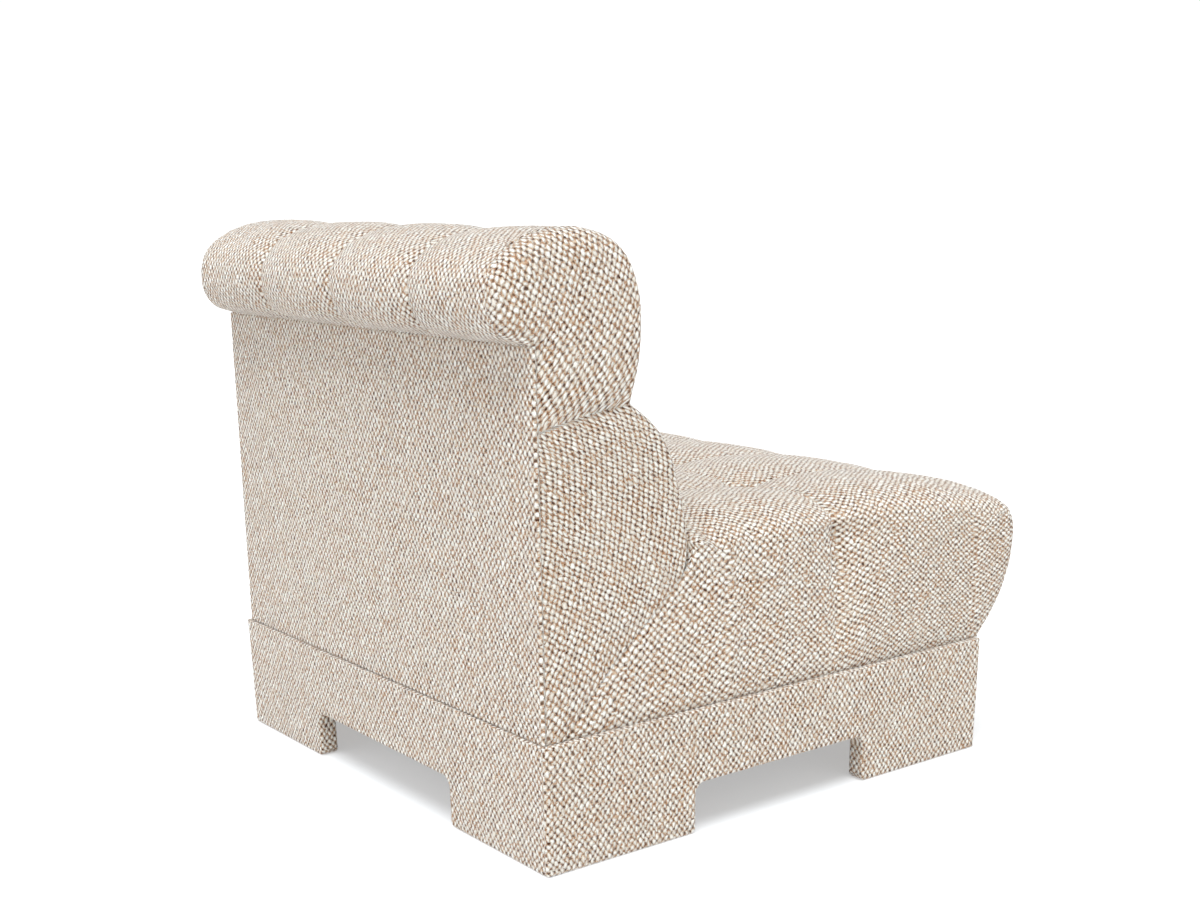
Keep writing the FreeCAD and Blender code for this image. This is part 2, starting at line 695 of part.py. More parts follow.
def make_plinth(rail_screw_holes):
    boards = plinth_boards()
    screw_holes = plinth_screws()
    pin_holes = foot_glides()
    doc.recompute()
    plinth_cover(boards, pin_holes)
    for name, blank in boards.items():
        keep(cut(f"plinth_{name}", blank, screw_holes + pin_holes), f"plinth_{name}_board")
    blocks = cut("plinth_blocks", corner_blocks(), rail_screw_holes)
    keep(blocks, "plinth_corner_blocks")


# Seat frame

def rail_screw_spots():
    x = f"({BOARD_INNER} - coach_setback)"
    reaches = ("(wrap + board + coach_setback)", "(plinth_depth - wrap - board - block_side / 2)")
    return [(signed(sign, x), reach) for sign in (-1, 1) for reach in reaches]


def rail_screws():
    """Coach screws up through the corner blocks into the side rails, and their holes."""
    screws = []
    washers = []
    holes = []
    foot = "(arch_height + turn_in + block_gap)"
    length = f"(plinth_height - {foot} + coach_grip + washer)"
    for number, (x, reach) in enumerate(rail_screw_spots(), start=1):
        name = f"coach_screw_{number}"
        head = rod(
            f"{name}_head",
            "coach_head / 2",
            "coach_head_height",
            x,
            reach,
            f"{foot} - washer - coach_head_height",
        )
        shank = rod(f"{name}_shank", "coach_screw / 2", length, x, reach, f"{foot} - washer")
        screws.append(fuse(name, [head, shank]))
        disc = rod(f"{name}_disc", "washer_diameter / 2", "washer", x, reach, f"{foot} - washer")
        bore = rod(f"{name}_bore", "coach_screw / 2 + hole_play", "washer", x, reach, f"{foot} - washer")
        washers.append(cut(f"{name}_washer", disc, [bore]))
        hole_length = f"plinth_height - {foot} + coach_grip + hole_play"
        holes.append(
            rod(f"{name}_hole", "coach_screw / 2 + hole_play", hole_length, x, reach, foot)
        )
    keep(group("base_screws", screws), "base_screws")
    keep(group("base_washers", washers), "base_washers")
    return holes


def back_bolts():
    """Flat-headed bolts through each side rail and back post, with washers and nuts."""
    bolts = []
    washers = []
    nuts = []
    holes = []
    length = "(2 * stock + washer + nut_height + bolt_spare)"
    for sign in (-1, 1):
        turn = "left" if sign > 0 else "right"
        for level in ("bolt_low_rise", "bolt_high_rise"):
            name = f"bolt_{side_name(sign)}_{level}"
            spot = ("bolt_reach", f"plinth_height + {level}", turn)
            outer = signed(sign, FRAME_SIDE)
            head = rod(f"{name}_head", "bolt_head / 2", "bolt_head_height", outer, *spot)
            shank = rod(f"{name}_shank", "bolt / 2", length, outer, *spot)
            bolts.append(fuse(name, [head, shank]))
            sink = rod(f"{name}_sink", "bolt_head / 2 + hole_play", "bolt_head_height", outer, *spot)
            bore = rod(f"{name}_hole", "bolt / 2 + hole_play", "2 * stock", outer, *spot)
            holes += [sink, bore]
            seat = signed(sign, POST_INNER)
            disc = rod(f"{name}_disc", "washer_diameter / 2", "washer", seat, *spot)
            disc_bore = rod(f"{name}_disc_bore", "bolt / 2 + hole_play", "washer", seat, *spot)
            washers.append(cut(f"{name}_washer", disc, [disc_bore]))
            nut = doc.addObject("Part::Prism", f"{name}_hexagon")
            nut.Polygon = 6
            bind(nut, Circumradius="nut_across / sqrt(3)", Height="nut_height")
            nut_seat = signed(sign, f"{POST_INNER} - washer")
            place(nut, nut_seat, *spot)
            nut_bore = rod(f"{name}_nut_bore", "bolt / 2 + hole_play", "nut_height", nut_seat, *spot)
            nuts.append(cut(f"{name}_nut", nut, [nut_bore]))
    keep(group("back_bolts", bolts), "back_bolts")
    keep(group("back_bolt_washers", washers), "back_bolt_washers")
    keep(group("back_bolt_nuts", nuts), "back_bolt_nuts")
    return holes


def seat_rails(rail_screw_holes, bolt_holes):
    height = ("plinth_height", RAIL_TOP)
    front_reach = (f"{FRONT_RAIL} - stock", FRONT_RAIL)
    full = (f"0 - {FRAME_SIDE}", FRAME_SIDE)
    keep(slab("seat_front_rail", full, front_reach, height), "seat_front_rail")
    between = (f"0 - {FRAME_INNER}", FRAME_INNER)
    back_reach = (POST_FRONT, f"{POST_FRONT} + stock")
    keep(slab("seat_back_rail", between, back_reach, height), "seat_back_rail")
    for sign in (-1, 1):
        name = f"seat_{side_name(sign)}_rail"
        across = (FRAME_INNER, FRAME_SIDE) if sign > 0 else (f"0 - {FRAME_SIDE}", f"0 - {FRAME_INNER}")
        blank = slab(f"{name}_blank", across, (FRAME_REAR, f"{FRONT_RAIL} - stock"), height)
        keep(cut(name, blank, rail_screw_holes + bolt_holes), name)


def seat_braces():
    """A triangular brace in each inside corner, flush with the top of the rails."""
    rear = f"{POST_FRONT} + stock"
    front = f"{FRONT_RAIL} - stock"
    inner = FRAME_INNER
    corners = [
        ("rear_right", inner, rear, 180),
        ("rear_left", f"0 - {inner}", rear, 270),
        ("front_left", f"0 - {inner}", front, 0),
        ("front_right", inner, front, 90),
    ]
    braces = []
    for name, x, reach, angle in corners:
        brace = triangle_block(f"brace_{name}")
        place(brace, x, reach, f"{RAIL_TOP} - stock")
        brace.Placement.Rotation = FreeCAD.Rotation(FreeCAD.Vector(0, 0, 1), angle)
        braces.append(brace)
    keep(group("seat_corner_braces", braces), "seat_corner_braces")


# Seat suspension

def spring_ends():
    """The reach of the wire's last run at the front rail and at the back rail."""
    front = S["plinth_depth"] - S["rail_setback"] - S["stock"] / 2
    rear = FRAME_REAR_REACH + S["post_depth"] + S["stock"] / 2
    return front, rear


def spring_places():
    count = int(S["spring_count"])
    return [(number - (count - 1) / 2) * S["spring_pitch"] for number in range(count)]


def zigzag_wire(x, level):
    """A flat zigzag: straight runs across the chair, joined by half turns of two quarter arcs."""
    front, rear = spring_ends()
    turns = int(S["spring_turns"])
    pitch = (front - rear) / turns
    half = S["spring_half_width"]
    bend = pitch / 2
    edges = []
    for run in range(turns + 1):
        side = 1 if run % 2 == 0 else -1
        reach = front - run * pitch
        start = at(x - side * half, (reach, level))
        end = at(x + side * half, (reach, level))
        edges.append(Part.LineSegment(start, end).toShape())
        if run == turns:
            break
        tip = at(x + side * (half + bend), (reach - bend, level))
        following = at(x + side * half, (reach - pitch, level))
        slack = bend * math.sqrt(0.5)
        first = at(x + side * (half + slack), (reach - bend + slack, level))
        second = at(x + side * (half + slack), (reach - bend - slack, level))
        edges.append(Part.Arc(end, first, tip).toShape())
        edges.append(Part.Arc(tip, second, following).toShape())
    return Part.Wire(edges)


def seat_springs():
    """Sinuous springs between the front and back rails."""
    level = PLINTH_TOP + S["rail_height"] + S["clip_plate"] + (S["spring_wire"] + S["gap"]) / 2
    front, rear = spring_ends()
    path = zigzag_wire(0, level)
    start = at(-S["spring_half_width"], (front, level))
    circle = Part.Circle(start, FreeCAD.Vector(1, 0, 0), S["spring_wire"] / 2).toShape()
    spring = path.makePipeShell([Part.Wire(circle)], True, False)
    copies = []
    for x in spring_places():
        copy = spring.copy()
        copy.translate(FreeCAD.Vector(x, 0, 0))
        copies.append(copy)
    keep(solid_of("seat_springs", Part.makeCompound(copies)), "seat_springs")


def spring_clips():
    """Bent clips on the rails, open towards the seat, that hold the ends of the springs."""
    clips = []
    count = int(S["spring_count"])
    for number in range(count):
        middle = f"(spring_pitch * {number - (count - 1) / 2})"
        across = (f"{middle} - clip_width / 2", f"{middle} + clip_width / 2")
        height = (RAIL_TOP, CLIP_TOP)
        room = (f"{RAIL_TOP} + clip_plate", f"{CLIP_TOP} - clip_plate")
        for end, centre, outward in (
            ("front", f"({FRONT_RAIL} - stock / 2)", 1),
            ("back", f"({POST_FRONT} + stock / 2)", -1),
        ):
            name = f"clip_{end}_{number + 1}"
            reach = (f"{centre} - clip_depth / 2", f"{centre} + clip_depth / 2")
            bar = "(spring_wire / 2 + gap)"
            if outward > 0:
                hollow = (f"{centre} - clip_depth", f"{centre} + {bar}")
            else:
                hollow = (f"{centre} - {bar}", f"{centre} + clip_depth")
            blank = slab(f"{name}_blank", across, reach, height)
            slot = slab(f"{name}_slot", across, hollow, room)
            clips.append(cut(name, blank, [slot]))
    keep(group("spring_clips", clips), "spring_clips")


def seat_deck():
    across = (f"0 - {FRAME_INNER} + gap", f"{FRAME_INNER} - gap")
    reach = (f"{WEBBING_FRONT} + gap", f"{FRONT_RAIL} - gap")
    keep(slab("seat_deck_felt", across, reach, (f"{CLIP_TOP} + gap", DECK_TOP)), "seat_deck_felt")


# Seat upholstery

def seat_ties():
    """Twine that pulls each crossing of the seat's seams down to the deck, and its holes."""
    ties = []
    holes = []
    count = int(S["column_count"]) - 1
    top = "(plinth_height + seat_seam_rise - pad - gap)"
    for number in range(count):
        x = f"(column_pitch * {number - (count - 1) / 2})"
        name = f"seat_tie_{number + 1}"
        length = f"{top} - {DECK_TOP}"
        spot = (x, "seat_seam_reach", DECK_TOP)
        ties.append(rod(name, "twine / 2", length, *spot))
        holes.append(rod(f"{name}_hole", "twine / 2 + gap", f"{length} + pad", *spot))
    keep(group("seat_tuft_ties", ties), "seat_tuft_ties")
    return holes


def seat_foams(tie_holes):
    """The seat block on the deck and the strip that fills out the front rail."""
    gap = S["gap"]
    soft = prism(SEAT_HOLLOW, FRAME_SIDE_X - gap, S["pad"] + gap)
    upper = block(-FAR, FAR, SEAT_REAR, FAR, DECK_TOP_Z + gap, FAR)
    core = soft.common(upper).cut([hole.Shape for hole in tie_holes])
    keep(solid_of("seat_foam_core", core), "seat_foam_core")
    rail_face = S["plinth_depth"] - S["rail_setback"] + gap
    lower = block(-FAR, FAR, rail_face, FAR, PLINTH_TOP + gap, DECK_TOP_Z)
    keep(solid_of("seat_front_foam", soft.common(lower)), "seat_front_foam")


def seat_cover():
    """Quilted cover of eight tufted pads that wraps over the front and both sides."""
    pads = columns(SEAT, BODY_SIDE - S["seat_side_roll"], 0)
    outer = joined(pads + side_rolls(SEAT, S["seat_side_roll"]))
    hollow = prism(SEAT_HOLLOW, FRAME_SIDE_X, S["pad"])
    keep(solid_of("seat_cover", outer.cut(hollow)), "seat_cover")


def dust_cover():
    """Thin cloth under the seat rails, notched round the corner blocks."""
    side = f"({BOARD_INNER} - dust_edge)"
    near = "(wrap + board + dust_edge)"
    far = "(plinth_depth - wrap - board - dust_edge)"
    height = ("plinth_height - dust_cloth", "plinth_height")
    blank = slab("dust_cloth_blank", (f"0 - {side}", side), (near, far), height)
    notch = "(block_side + notch_play)"
    notches = []
    for sign in (-1, 1):
        outer = BOARD_INNER
        inner = f"({BOARD_INNER} - {notch})"
        across = (inner, outer) if sign > 0 else (f"0 - {outer}", f"0 - {inner}")
        for end, reach in (
            ("front", (f"plinth_depth - wrap - board - {notch}", "plinth_depth")),
            ("back", ("0", f"wrap + board + {notch}")),
        ):
            notches.append(slab(f"dust_notch_{side_name(sign)}_{end}", across, reach, height))
    keep(cut("dust_cover", blank, notches), "dust_cover")


def dust_staples():
    """Staple crowns round the edge of the dust cloth, flat against it."""
    side = S["plinth_width"] / 2 - S["wrap"] - S["board"] - S["dust_edge"] - S["staple_edge"]
    near = S["wrap"] + S["board"] + S["dust_edge"] + S["staple_edge"]
    far = S["plinth_depth"] - near
    clear = S["block_side"] + S["staple_length"]
    top = PLINTH_TOP - S["dust_cloth"]
    thick = S["staple"]
    half = S["staple_length"] / 2
    crowns = []
    run_x = side - clear
    steps = max(1, int(2 * run_x / S["staple_gap"]))
    for step in range(steps + 1):
        x = -run_x + 2 * run_x * step / steps
        for reach in (near, far):
            crowns.append(block(x - half, x + half, reach - thick, reach + thick, top - thick, top))
    first, last = near + clear, far - clear
    steps = max(1, int((last - first) / S["staple_gap"]))
    for step in range(steps + 1):
        reach = first + (last - first) * step / steps
        for x in (-side, side):
            crowns.append(block(x - thick, x + thick, reach - half, reach + half, top - thick, top))
    keep(solid_of("dust_cover_staples", Part.makeCompound(crowns)), "dust_cover_staples")


# Back frame

def back_frame(bolt_holes):
    height = ("plinth_height", f"{FRAME_TOP} - stock")
    for sign in (-1, 1):
        name = f"back_{side_name(sign)}_post"
        across = (POST_INNER, FRAME_INNER) if sign > 0 else (f"0 - {FRAME_INNER}", f"0 - {POST_INNER}")
        blank = slab(f"{name}_blank", across, (FRAME_REAR, POST_FRONT), height)
        keep(cut(name, blank, bolt_holes), name)
    between = (f"0 - {POST_INNER}", POST_INNER)
    rear_face = (FRAME_REAR, f"{FRAME_REAR} + stock")
    front_face = (f"{POST_FRONT} - stock", POST_FRONT)
    low = ("plinth_height", "plinth_height + back_rail_height")
    keep(slab("back_bottom_rail", between, rear_face, low), "back_bottom_rail")
    middle = ("plinth_height + middle_rail_rise", "plinth_height + middle_rail_rise + back_rail_height")
    keep(slab("back_middle_rail", between, front_face, middle), "back_middle_rail")
    over_posts = (f"0 - {FRAME_INNER}", FRAME_INNER)
    top = (f"{FRAME_TOP} - stock", FRAME_TOP)
    keep(slab("back_top_rail", over_posts, (FRAME_REAR, POST_FRONT), top), "back_top_rail")


def side_formers():
    """Shaped boards on the side rails that give the back and the roll their outline."""
    inset = S["pad"] + S["gap"]
    foot = PLINTH_TOP + S["rail_height"]
    shapes = [
        prism(LUMBAR_HOLLOW, FRAME_SIDE_X, inset).common(
            block(-FAR, FAR, FRAME_REAR_REACH, FAR, foot, LEVEL["waist_rise"])
        ),
        prism(ROLL_HOLLOW, FRAME_SIDE_X, inset).common(
            block(-FAR, FAR, -FAR, FAR, FRAME_TOP_Z + S["gap"], FAR)
        ),
        block(
            -FRAME_SIDE_X,
            FRAME_SIDE_X,
            FRAME_REAR_REACH,
            S["waist_reach"] - inset - S["pad"],
            foot,
            FRAME_TOP_Z + S["gap"],
        ),
    ]
    whole = joined(shapes)
    for sign in (-1, 1):
        low, high = sorted((sign * FRAME_INNER_X, sign * FRAME_SIDE_X))
        name = f"back_{side_name(sign)}_former"
        former = whole.common(block(low, high, -FAR, FAR, 0, FAR)).removeSplitter()
        keep(solid_of(name, former), name)


def roll_tube():
    """Card tube that carries the roll, and the plugs that hold its ends to the formers."""
    reach = "((roll_front_reach - roll_overhang) / 2)"
    centre = f"({FRAME_TOP} + gap + tube_diameter / 2)"
    start = f"0 - {FRAME_INNER} + gap"
    length = f"2 * ({FRAME_INNER} - gap)"
    outer = rod("tube_outer", "tube_diameter / 2", length, start, reach, centre, "right")
    bore = rod("tube_bore", "tube_diameter / 2 - tube_wall", length, start, reach, centre, "right")
    keep(cut("roll_tube", outer, [bore]), "roll_tube")
    plugs = []
    for sign in (-1, 1):
        x = signed(sign, FRAME_INNER)
        turn = "left" if sign > 0 else "right"
        name = f"plug_{side_name(sign)}"
        plugs.append(rod(name, "tube_diameter / 2 - tube_wall - gap", "plug", x, reach, centre, turn))
    keep(group("roll_tube_plugs", plugs), "roll_tube_plugs")


def back_webbing():
    """Upright straps from the seat rail to the top rail, and straps across them."""
    straps = []
    first = (POST_FRONT, f"{POST_FRONT} + webbing")
    uprights = int(S["upright_straps"])
    for number in range(uprights):
        middle = f"(webbing_pitch * {number - (uprights - 1) / 2})"
        across = (f"{middle} - webbing_width / 2", f"{middle} + webbing_width / 2")
        height = (RAIL_TOP, f"{FRAME_TOP} - gap")
        straps.append(slab(f"upright_strap_{number + 1}", across, first, height))
    keep(group("back_webbing_upright", straps), "back_webbing_upright")
    straps = []
    second = (f"{POST_FRONT} + webbing", f"{POST_FRONT} + 2 * webbing")
    across = (f"0 - {FRAME_INNER} + gap", f"{FRAME_INNER} - gap")
    lowest = f"({RAIL_TOP} + webbing_width)"
    highest = f"({FRAME_TOP} - 2 * webbing_width)"
    crossings = int(S["cross_straps"])
    for number in range(crossings):
        foot = f"({lowest} + ({highest} - {lowest}) * {number / max(1, crossings - 1)})"
        height = (foot, f"{foot} + webbing_width")
        straps.append(slab(f"cross_strap_{number + 1}", across, second, height))
    keep(group("back_webbing_across", straps), "back_webbing_across")


def back_foams():
    """The lower back block and the roll's foam round its card tube."""
    gap = S["gap"]
    inset = S["pad"] + gap
    half = FRAME_INNER_X - gap
    rear = WEBBING_FRONT_REACH + gap
    slot = S["twine"] + 2 * gap
    lumbar_top = LEVEL["waist_rise"] - S["pad"] / 2 - slot / 2
    upper = prism(LUMBAR_HOLLOW, half, inset).common(
        block(-FAR, FAR, rear, FAR, DECK_TOP_Z + gap, lumbar_top)
    )
    lower = block(-half, half, rear, S["lumbar_reach"], DECK_TOP_Z + gap, LEVEL["crease_rise"] - gap)
    keep(solid_of("lumbar_foam", upper.fuse(lower).removeSplitter()), "lumbar_foam")
    roll_foot = lumbar_top + slot
    tube = Part.makeCylinder(
        S["tube_diameter"] / 2 + gap,
        2 * FAR,
        at(-FAR, (TUBE_REACH, TUBE_CENTRE_Z)),
        FreeCAD.Vector(1, 0, 0),
    )
    frame_room = block(-FAR, FAR, -FAR, rear, 0, FRAME_TOP_Z + gap)
    under = block(-FAR, FAR, -FAR, FAR, 0, roll_foot)
    core = prism(ROLL_HOLLOW, half, inset).cut([tube, frame_room, under])
    keep(solid_of("roll_foam", core), "roll_foam")


def back_ties():
    """Twine that pulls the crease under the roll back to the webbing at each seam."""
    ties = []
    count = int(S["column_count"]) - 1
    level = "(plinth_height + waist_rise - pad / 2)"
    length = f"(waist_reach - pad - gap - {WEBBING_FRONT})"
    for number in range(count):
        x = f"(column_pitch * {number - (count - 1) / 2})"
        ties.append(rod(f"back_tie_{number + 1}", "twine / 2", length, x, WEBBING_FRONT, level, "forward"))
    keep(group("back_tuft_ties", ties), "back_tuft_ties")


# Back upholstery

def inside_covers():
    """The two channelled covers of the back: the lower back and the roll over it."""
    for name, outline, hollow in (
        ("lumbar_cover", LUMBAR, LUMBAR_HOLLOW),
        ("roll_cover", ROLL, ROLL_HOLLOW),
    ):
        outer = joined(columns(outline, FRAME_SIDE_X, 0))
        shape = outer.cut(prism(hollow, FAR, S["pad"]))
        keep(solid_of(name, shape), name)


def crease_wedge(sign):
    """What the crease under the roll takes from an end panel: deep in front, nothing at the rear."""
    outer = sign * (BODY_SIDE + S["gap"])
    inner = sign * (BODY_SIDE - S["side_crease_depth"])
    half = S["side_crease_depth"]
    front = S["waist_reach"]
    level = LEVEL["waist_rise"]
    upper = at(outer, (front, level + half))
    lower = at(outer, (front, level - half))
    deep = at(inner, (front, level))
    rear = at(outer, (S["wrap"] + S["pad"], LEVEL["waist_rear_rise"]))
    corners = [(upper, lower, deep), (upper, lower, rear), (upper, deep, rear), (lower, deep, rear)]
    faces = [Part.Face(Part.makePolygon([a, b, c, a])) for a, b, c in corners]
    return Part.Solid(Part.Shell(faces))


def side_covers():
    """Padded end panels of the back and the roll, rounded at their edges and creased at the waist."""
    rear = S["wrap"]
    outline = [
        Knot(S["heel_reach"], PLINTH_TOP, (0, 0), 0, 0),
        Knot(S["crease_reach"], LEVEL["crease_rise"], (-0.5, 0.25), 0, 0),
        LUMBAR[1],
        Knot(S["waist_reach"], LEVEL["waist_rise"], (-1, 0), 0, S["roll_neck_bow"]),
        ROLL[1],
        ROLL[2],
        ROLL[3],
        ROLL[4]._replace(toward=(0, 0)),
        Knot(rear, LEVEL["roll_seam_rise"], (0, 0), 0, 0),
        Knot(rear, PLINTH_TOP, (0, 0), 0, 0),
    ]
    radius = S["back_side_roll"]
    steps = 3
    angles = [math.pi / 2 * step / steps for step in range(steps + 1)]
    for sign in (-1, 1):
        wires = [outline_wire(outline, sign * FRAME_SIDE_X)]
        for angle in angles:
            x = sign * (BODY_SIDE - radius + radius * math.sin(angle))
            wires.append(outline_wire(outline, x, radius * (1 - math.cos(angle))))
        panel = Part.makeLoft(wires, True, True).cut(crease_wedge(sign))
        name = f"back_{side_name(sign)}_cover"
        keep(solid_of(name, panel), name)


def outside_back():
    """Hardboard, card strip and fabric that close the chair's rear face."""
    across = (f"0 - {FRAME_SIDE}", FRAME_SIDE)
    depth = ("wrap", FRAME_REAR)
    board_top = f"({FRAME_TOP} - tack_strip_height)"
    keep(slab("outside_back_board", across, depth, ("plinth_height", board_top)), "outside_back_board")
    keep(slab("back_tack_strip", across, depth, (board_top, FRAME_TOP)), "back_tack_strip")
    side = "(plinth_width / 2 - body_inset)"
    face = slab(
        "outside_back_cover",
        (f"0 - {side}", side),
        ("0", "wrap"),
        ("plinth_height", "plinth_height + roll_seam_rise - gap"),
    )
    keep(face, "outside_back_cover")


def export_nodes():
    """Checks every object and writes one STEP file for each sub-part."""
    doc.recompute()
    failed = [thing.Name for thing in doc.Objects if {"Invalid", "Error"} & set(thing.State)]
    if failed:
        raise RuntimeError(f"objects that did not compute: {failed}")
    for node in NODES:
        shape = node.Shape
        if shape.isNull() or not shape.isValid() or not shape.Solids:
            raise RuntimeError(f"{node.Label} has no valid solid")
    os.makedirs("parts", exist_ok=True)
    for node in NODES:
        node.Shape.exportStep(f"parts/{node.Label}.step")
        box = node.Shape.BoundBox
        print(
            f"{node.Label}: {len(node.Shape.Solids)} solids, {node.Shape.Volume / 1000:.1f} cm3,"
            f" x {box.XMin:.1f} to {box.XMax:.1f}, y {box.YMin:.1f} to {box.YMax:.1f},"
            f" z {box.ZMin:.1f} to {box.ZMax:.1f}"
        )


coach_holes = rail_screws()
post_holes = back_bolts()
make_plinth(coach_holes)
seat_rails(coach_holes, post_holes)
seat_braces()
seat_springs()
spring_clips()
seat_deck()
deck_holes = seat_ties()
dust_cover()
dust_staples()
back_frame(post_holes)
roll_tube()
back_webbing()
back_ties()
outside_back()
doc.recompute()
seat_foams(deck_holes)
seat_cover()
side_formers()
back_foams()
inside_covers()
side_covers()
export_nodes()
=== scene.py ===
"""Looks of an armless lounge chair: chunky boucle over a tufted seat, a channelled back and a plinth.

Outlines are drawn in the chair's side view, in millimetres: reach is measured forward from the flat
outside of the back, and height from the floor. Closed loops run anticlockwise in that view: up the
front, back over the top, down the rear and forward again underneath. The sitter's right is at -x.
Shell.build turns the millimetres into metres.
"""

import itertools
import json
import math

import bmesh
import bpy
import numpy as np
from mathutils import Matrix, Vector

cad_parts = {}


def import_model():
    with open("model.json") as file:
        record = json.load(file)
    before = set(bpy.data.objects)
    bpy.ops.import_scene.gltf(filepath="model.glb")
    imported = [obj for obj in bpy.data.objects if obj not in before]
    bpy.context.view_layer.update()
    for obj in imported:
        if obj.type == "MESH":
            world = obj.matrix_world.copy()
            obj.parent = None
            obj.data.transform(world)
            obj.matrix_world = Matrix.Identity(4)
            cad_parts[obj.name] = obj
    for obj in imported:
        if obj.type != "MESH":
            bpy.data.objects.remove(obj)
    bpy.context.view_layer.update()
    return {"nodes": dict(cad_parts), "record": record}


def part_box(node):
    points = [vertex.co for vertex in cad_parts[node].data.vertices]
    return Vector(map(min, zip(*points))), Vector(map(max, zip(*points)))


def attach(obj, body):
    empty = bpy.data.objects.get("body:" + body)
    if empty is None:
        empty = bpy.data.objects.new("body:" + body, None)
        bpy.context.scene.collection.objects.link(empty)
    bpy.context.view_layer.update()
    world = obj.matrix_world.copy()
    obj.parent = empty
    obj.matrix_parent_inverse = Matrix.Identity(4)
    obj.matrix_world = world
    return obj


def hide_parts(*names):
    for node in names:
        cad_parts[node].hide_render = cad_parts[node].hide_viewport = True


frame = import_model()

MM = 0.001
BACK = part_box("outside_back_cover")[1].y
BACK_MM = BACK / MM
QUARTER = np.pi / 2

# Main sizes, in millimetres. SIDE and PANEL_INSIDE are measured across from the chair's middle.
PLINTH_TOP = 165
BODY_FOOT = 165.6
SIDE = 394
PANEL_INSIDE = 375
SEAM_PITCH = 197
SEAMS = (-SEAM_PITCH, 0, SEAM_PITCH)
SEAT_SEAM_REACH = 489
SIDE_SEAM_REACH = 482
SIDE_SEAM_END = 205

# How far the top of each end panel falls, at -x and at +x, and how far the stuffing has settled at -x.
END_FALL = {-1: 3.5, 1: 2}
SETTLING = 5

# The weave: the height of a row of nubs, and the distance between two nubs of a row.
ROW = 5.81
NUB = 8.93

# Points on each millimetre of a fine polyline, and steps on each metre when points are welded.
FINENESS = 2
WELD_STEPS = 2e5

# How far the tight crease at a line of stitching reaches, how wide the lumps in the stuffing are, and
# how far in from the rim of a side its gathers and lumps take to set in.
STITCH_REACH = 2.6
LUMP = 62
RIM_REACH = 4

# The noise: large odd numbers that scramble its lattice's corners, the highest code that they give,
# and how many cells the lattice stands off from the origin.
SEED_MIXER = 668265263
AXIS_MIXERS = (73856093, 19349663, 83492791)
CODE_MIXER = 1274126177
CODE_LIMIT = 0xFFFF
LATTICE_SHIFT = 1000

# Side view of the seat: up the front from the plinth, over the shoulder and top, and down the rear.
SEAT_FRONT = [
    (771, BODY_FOOT), (779, 173), (805, 200), (826, 228), (840, 256), (848, 284), (851, 314), (847, 340),
]
SEAT_TOP = [
    (847, 340), (839, 357), (823, 370), (798, 380), (756, 391), (700, 402), (600, 410.5),
    (SEAT_SEAM_REACH, 411), (360, 411), (280, 405), (246, 393), (236, 380),
]
SEAT_REAR = [(236, 380), (226, 345), (147, 277), (82, 220), (36, BODY_FOOT)]

# The seat's foot: how far its sides' rim stands over the underside, how tightly it turns up at the
# sides, and the short steps of the underside beside the heel and the toe.
FOOT_LIFT = 0.15
FOOT_ROUND = 1.5
HEEL_STEPS = np.array([1.2, 14, 30])
TOE_STEPS = np.array([7, 1.2])

# The rear again at the seat's sides, where it starts from the end of the top.
SEAT_REAR_AT_END = [(213, 338), (137, 273), (74, 216), (30, BODY_FOOT + FOOT_LIFT)]

# The lower back, from the seat crease up to the crease under the roll, and its hidden rear.
LUMBAR_FRONT = [
    (223, 342), (229, 358), (232, 380), (229, 412), (220, 450), (205, 500), (188, 527), (174, 541),
    (160, 552), (147, 561),
]
LUMBAR_REAR = [(147, 561), (105, 561), (105, 342), (223, 342)]

# The roll, from the crease up its front, over its top and down to the seam behind, and its hidden base.
ROLL_FRONT = [
    (147, 562), (152, 577), (159, 600), (163, 622), (165, 655), (164, 683), (159, 705), (150, 727),
    (140, 742), (128, 753), (107, 764), (83, 770), (58, 771), (31, 768), (4, 760), (-24, 744),
    (-39, 728), (-46, 711), (-48, 694), (-47, 676), (-40, 659), (-31, 649), (-12, 641), (0, 638),
]
ROLL_REAR = [(0, 638), (30, 610), (147, 562)]

# End panel of the back and roll: its long edges in matching runs from the plinth up, its top and crease.
PANEL_FRONT = ([(36, BODY_FOOT), (82, 220), (147, 277), (223, 342)], LUMBAR_FRONT, ROLL_FRONT[:12])
PANEL_TOP = ROLL_FRONT[11:15]
PANEL_REAR = ([(3, BODY_FOOT), (3, 342)], [(3, 342), (3, 540)], [(3, 540), (3, 637)], ROLL_FRONT[14:][::-1])
CREASE = [(14, 540), (27, 543), (80, 551), (147, 562)]

# How the cloth of the end panels lies: its slope, how closely its nubs crowd along the rows, and, for
# the lower back and the roll, how fast it leans over, the height where it stands upright and a shift.
CLOTH_TILT = math.radians(17)
CROWDING = 0.93
LUMBAR_LEAN, LUMBAR_UPRIGHT, LUMBAR_SHIFT = 0.00143, 211, 144
ROLL_LEAN, ROLL_UPRIGHT = 0.0025, 655

# Plinth cover: half sizes and middle, how its faces spread towards the top, and the cut-outs.
PLINTH_HALF = (400.5, 382.5)
PLINTH_MIDDLE = 382
PLINTH_CORNER = 5
PLINTH_FLARE = 3
FLARE_HALF = 390
ARCH_HALF = (179, 150)
ARCH_TOP = 67
ARCH_CORNER = 15
ARCH_FOOT = 8.0
FLOOR_GAP = 0.6

# Its section: the crown's height and rounding, how far in it reaches, the rounding of the lower edge,
# how far in the cloth goes under the boards and up behind them, and how thick it is.
CROWN = PLINTH_TOP + 0.5
CROWN_ROUND = 1.2
LEDGE = 15
LIP = 3.0
CHEEK = 27
TURN_IN = 25
WRAP = 4.5

# Its mesh: rows on a face, steps round a corner, and how far before a corner deep points draw in.
FACE_ROWS = 14
CORNER_STEPS = 8
EASING = 40


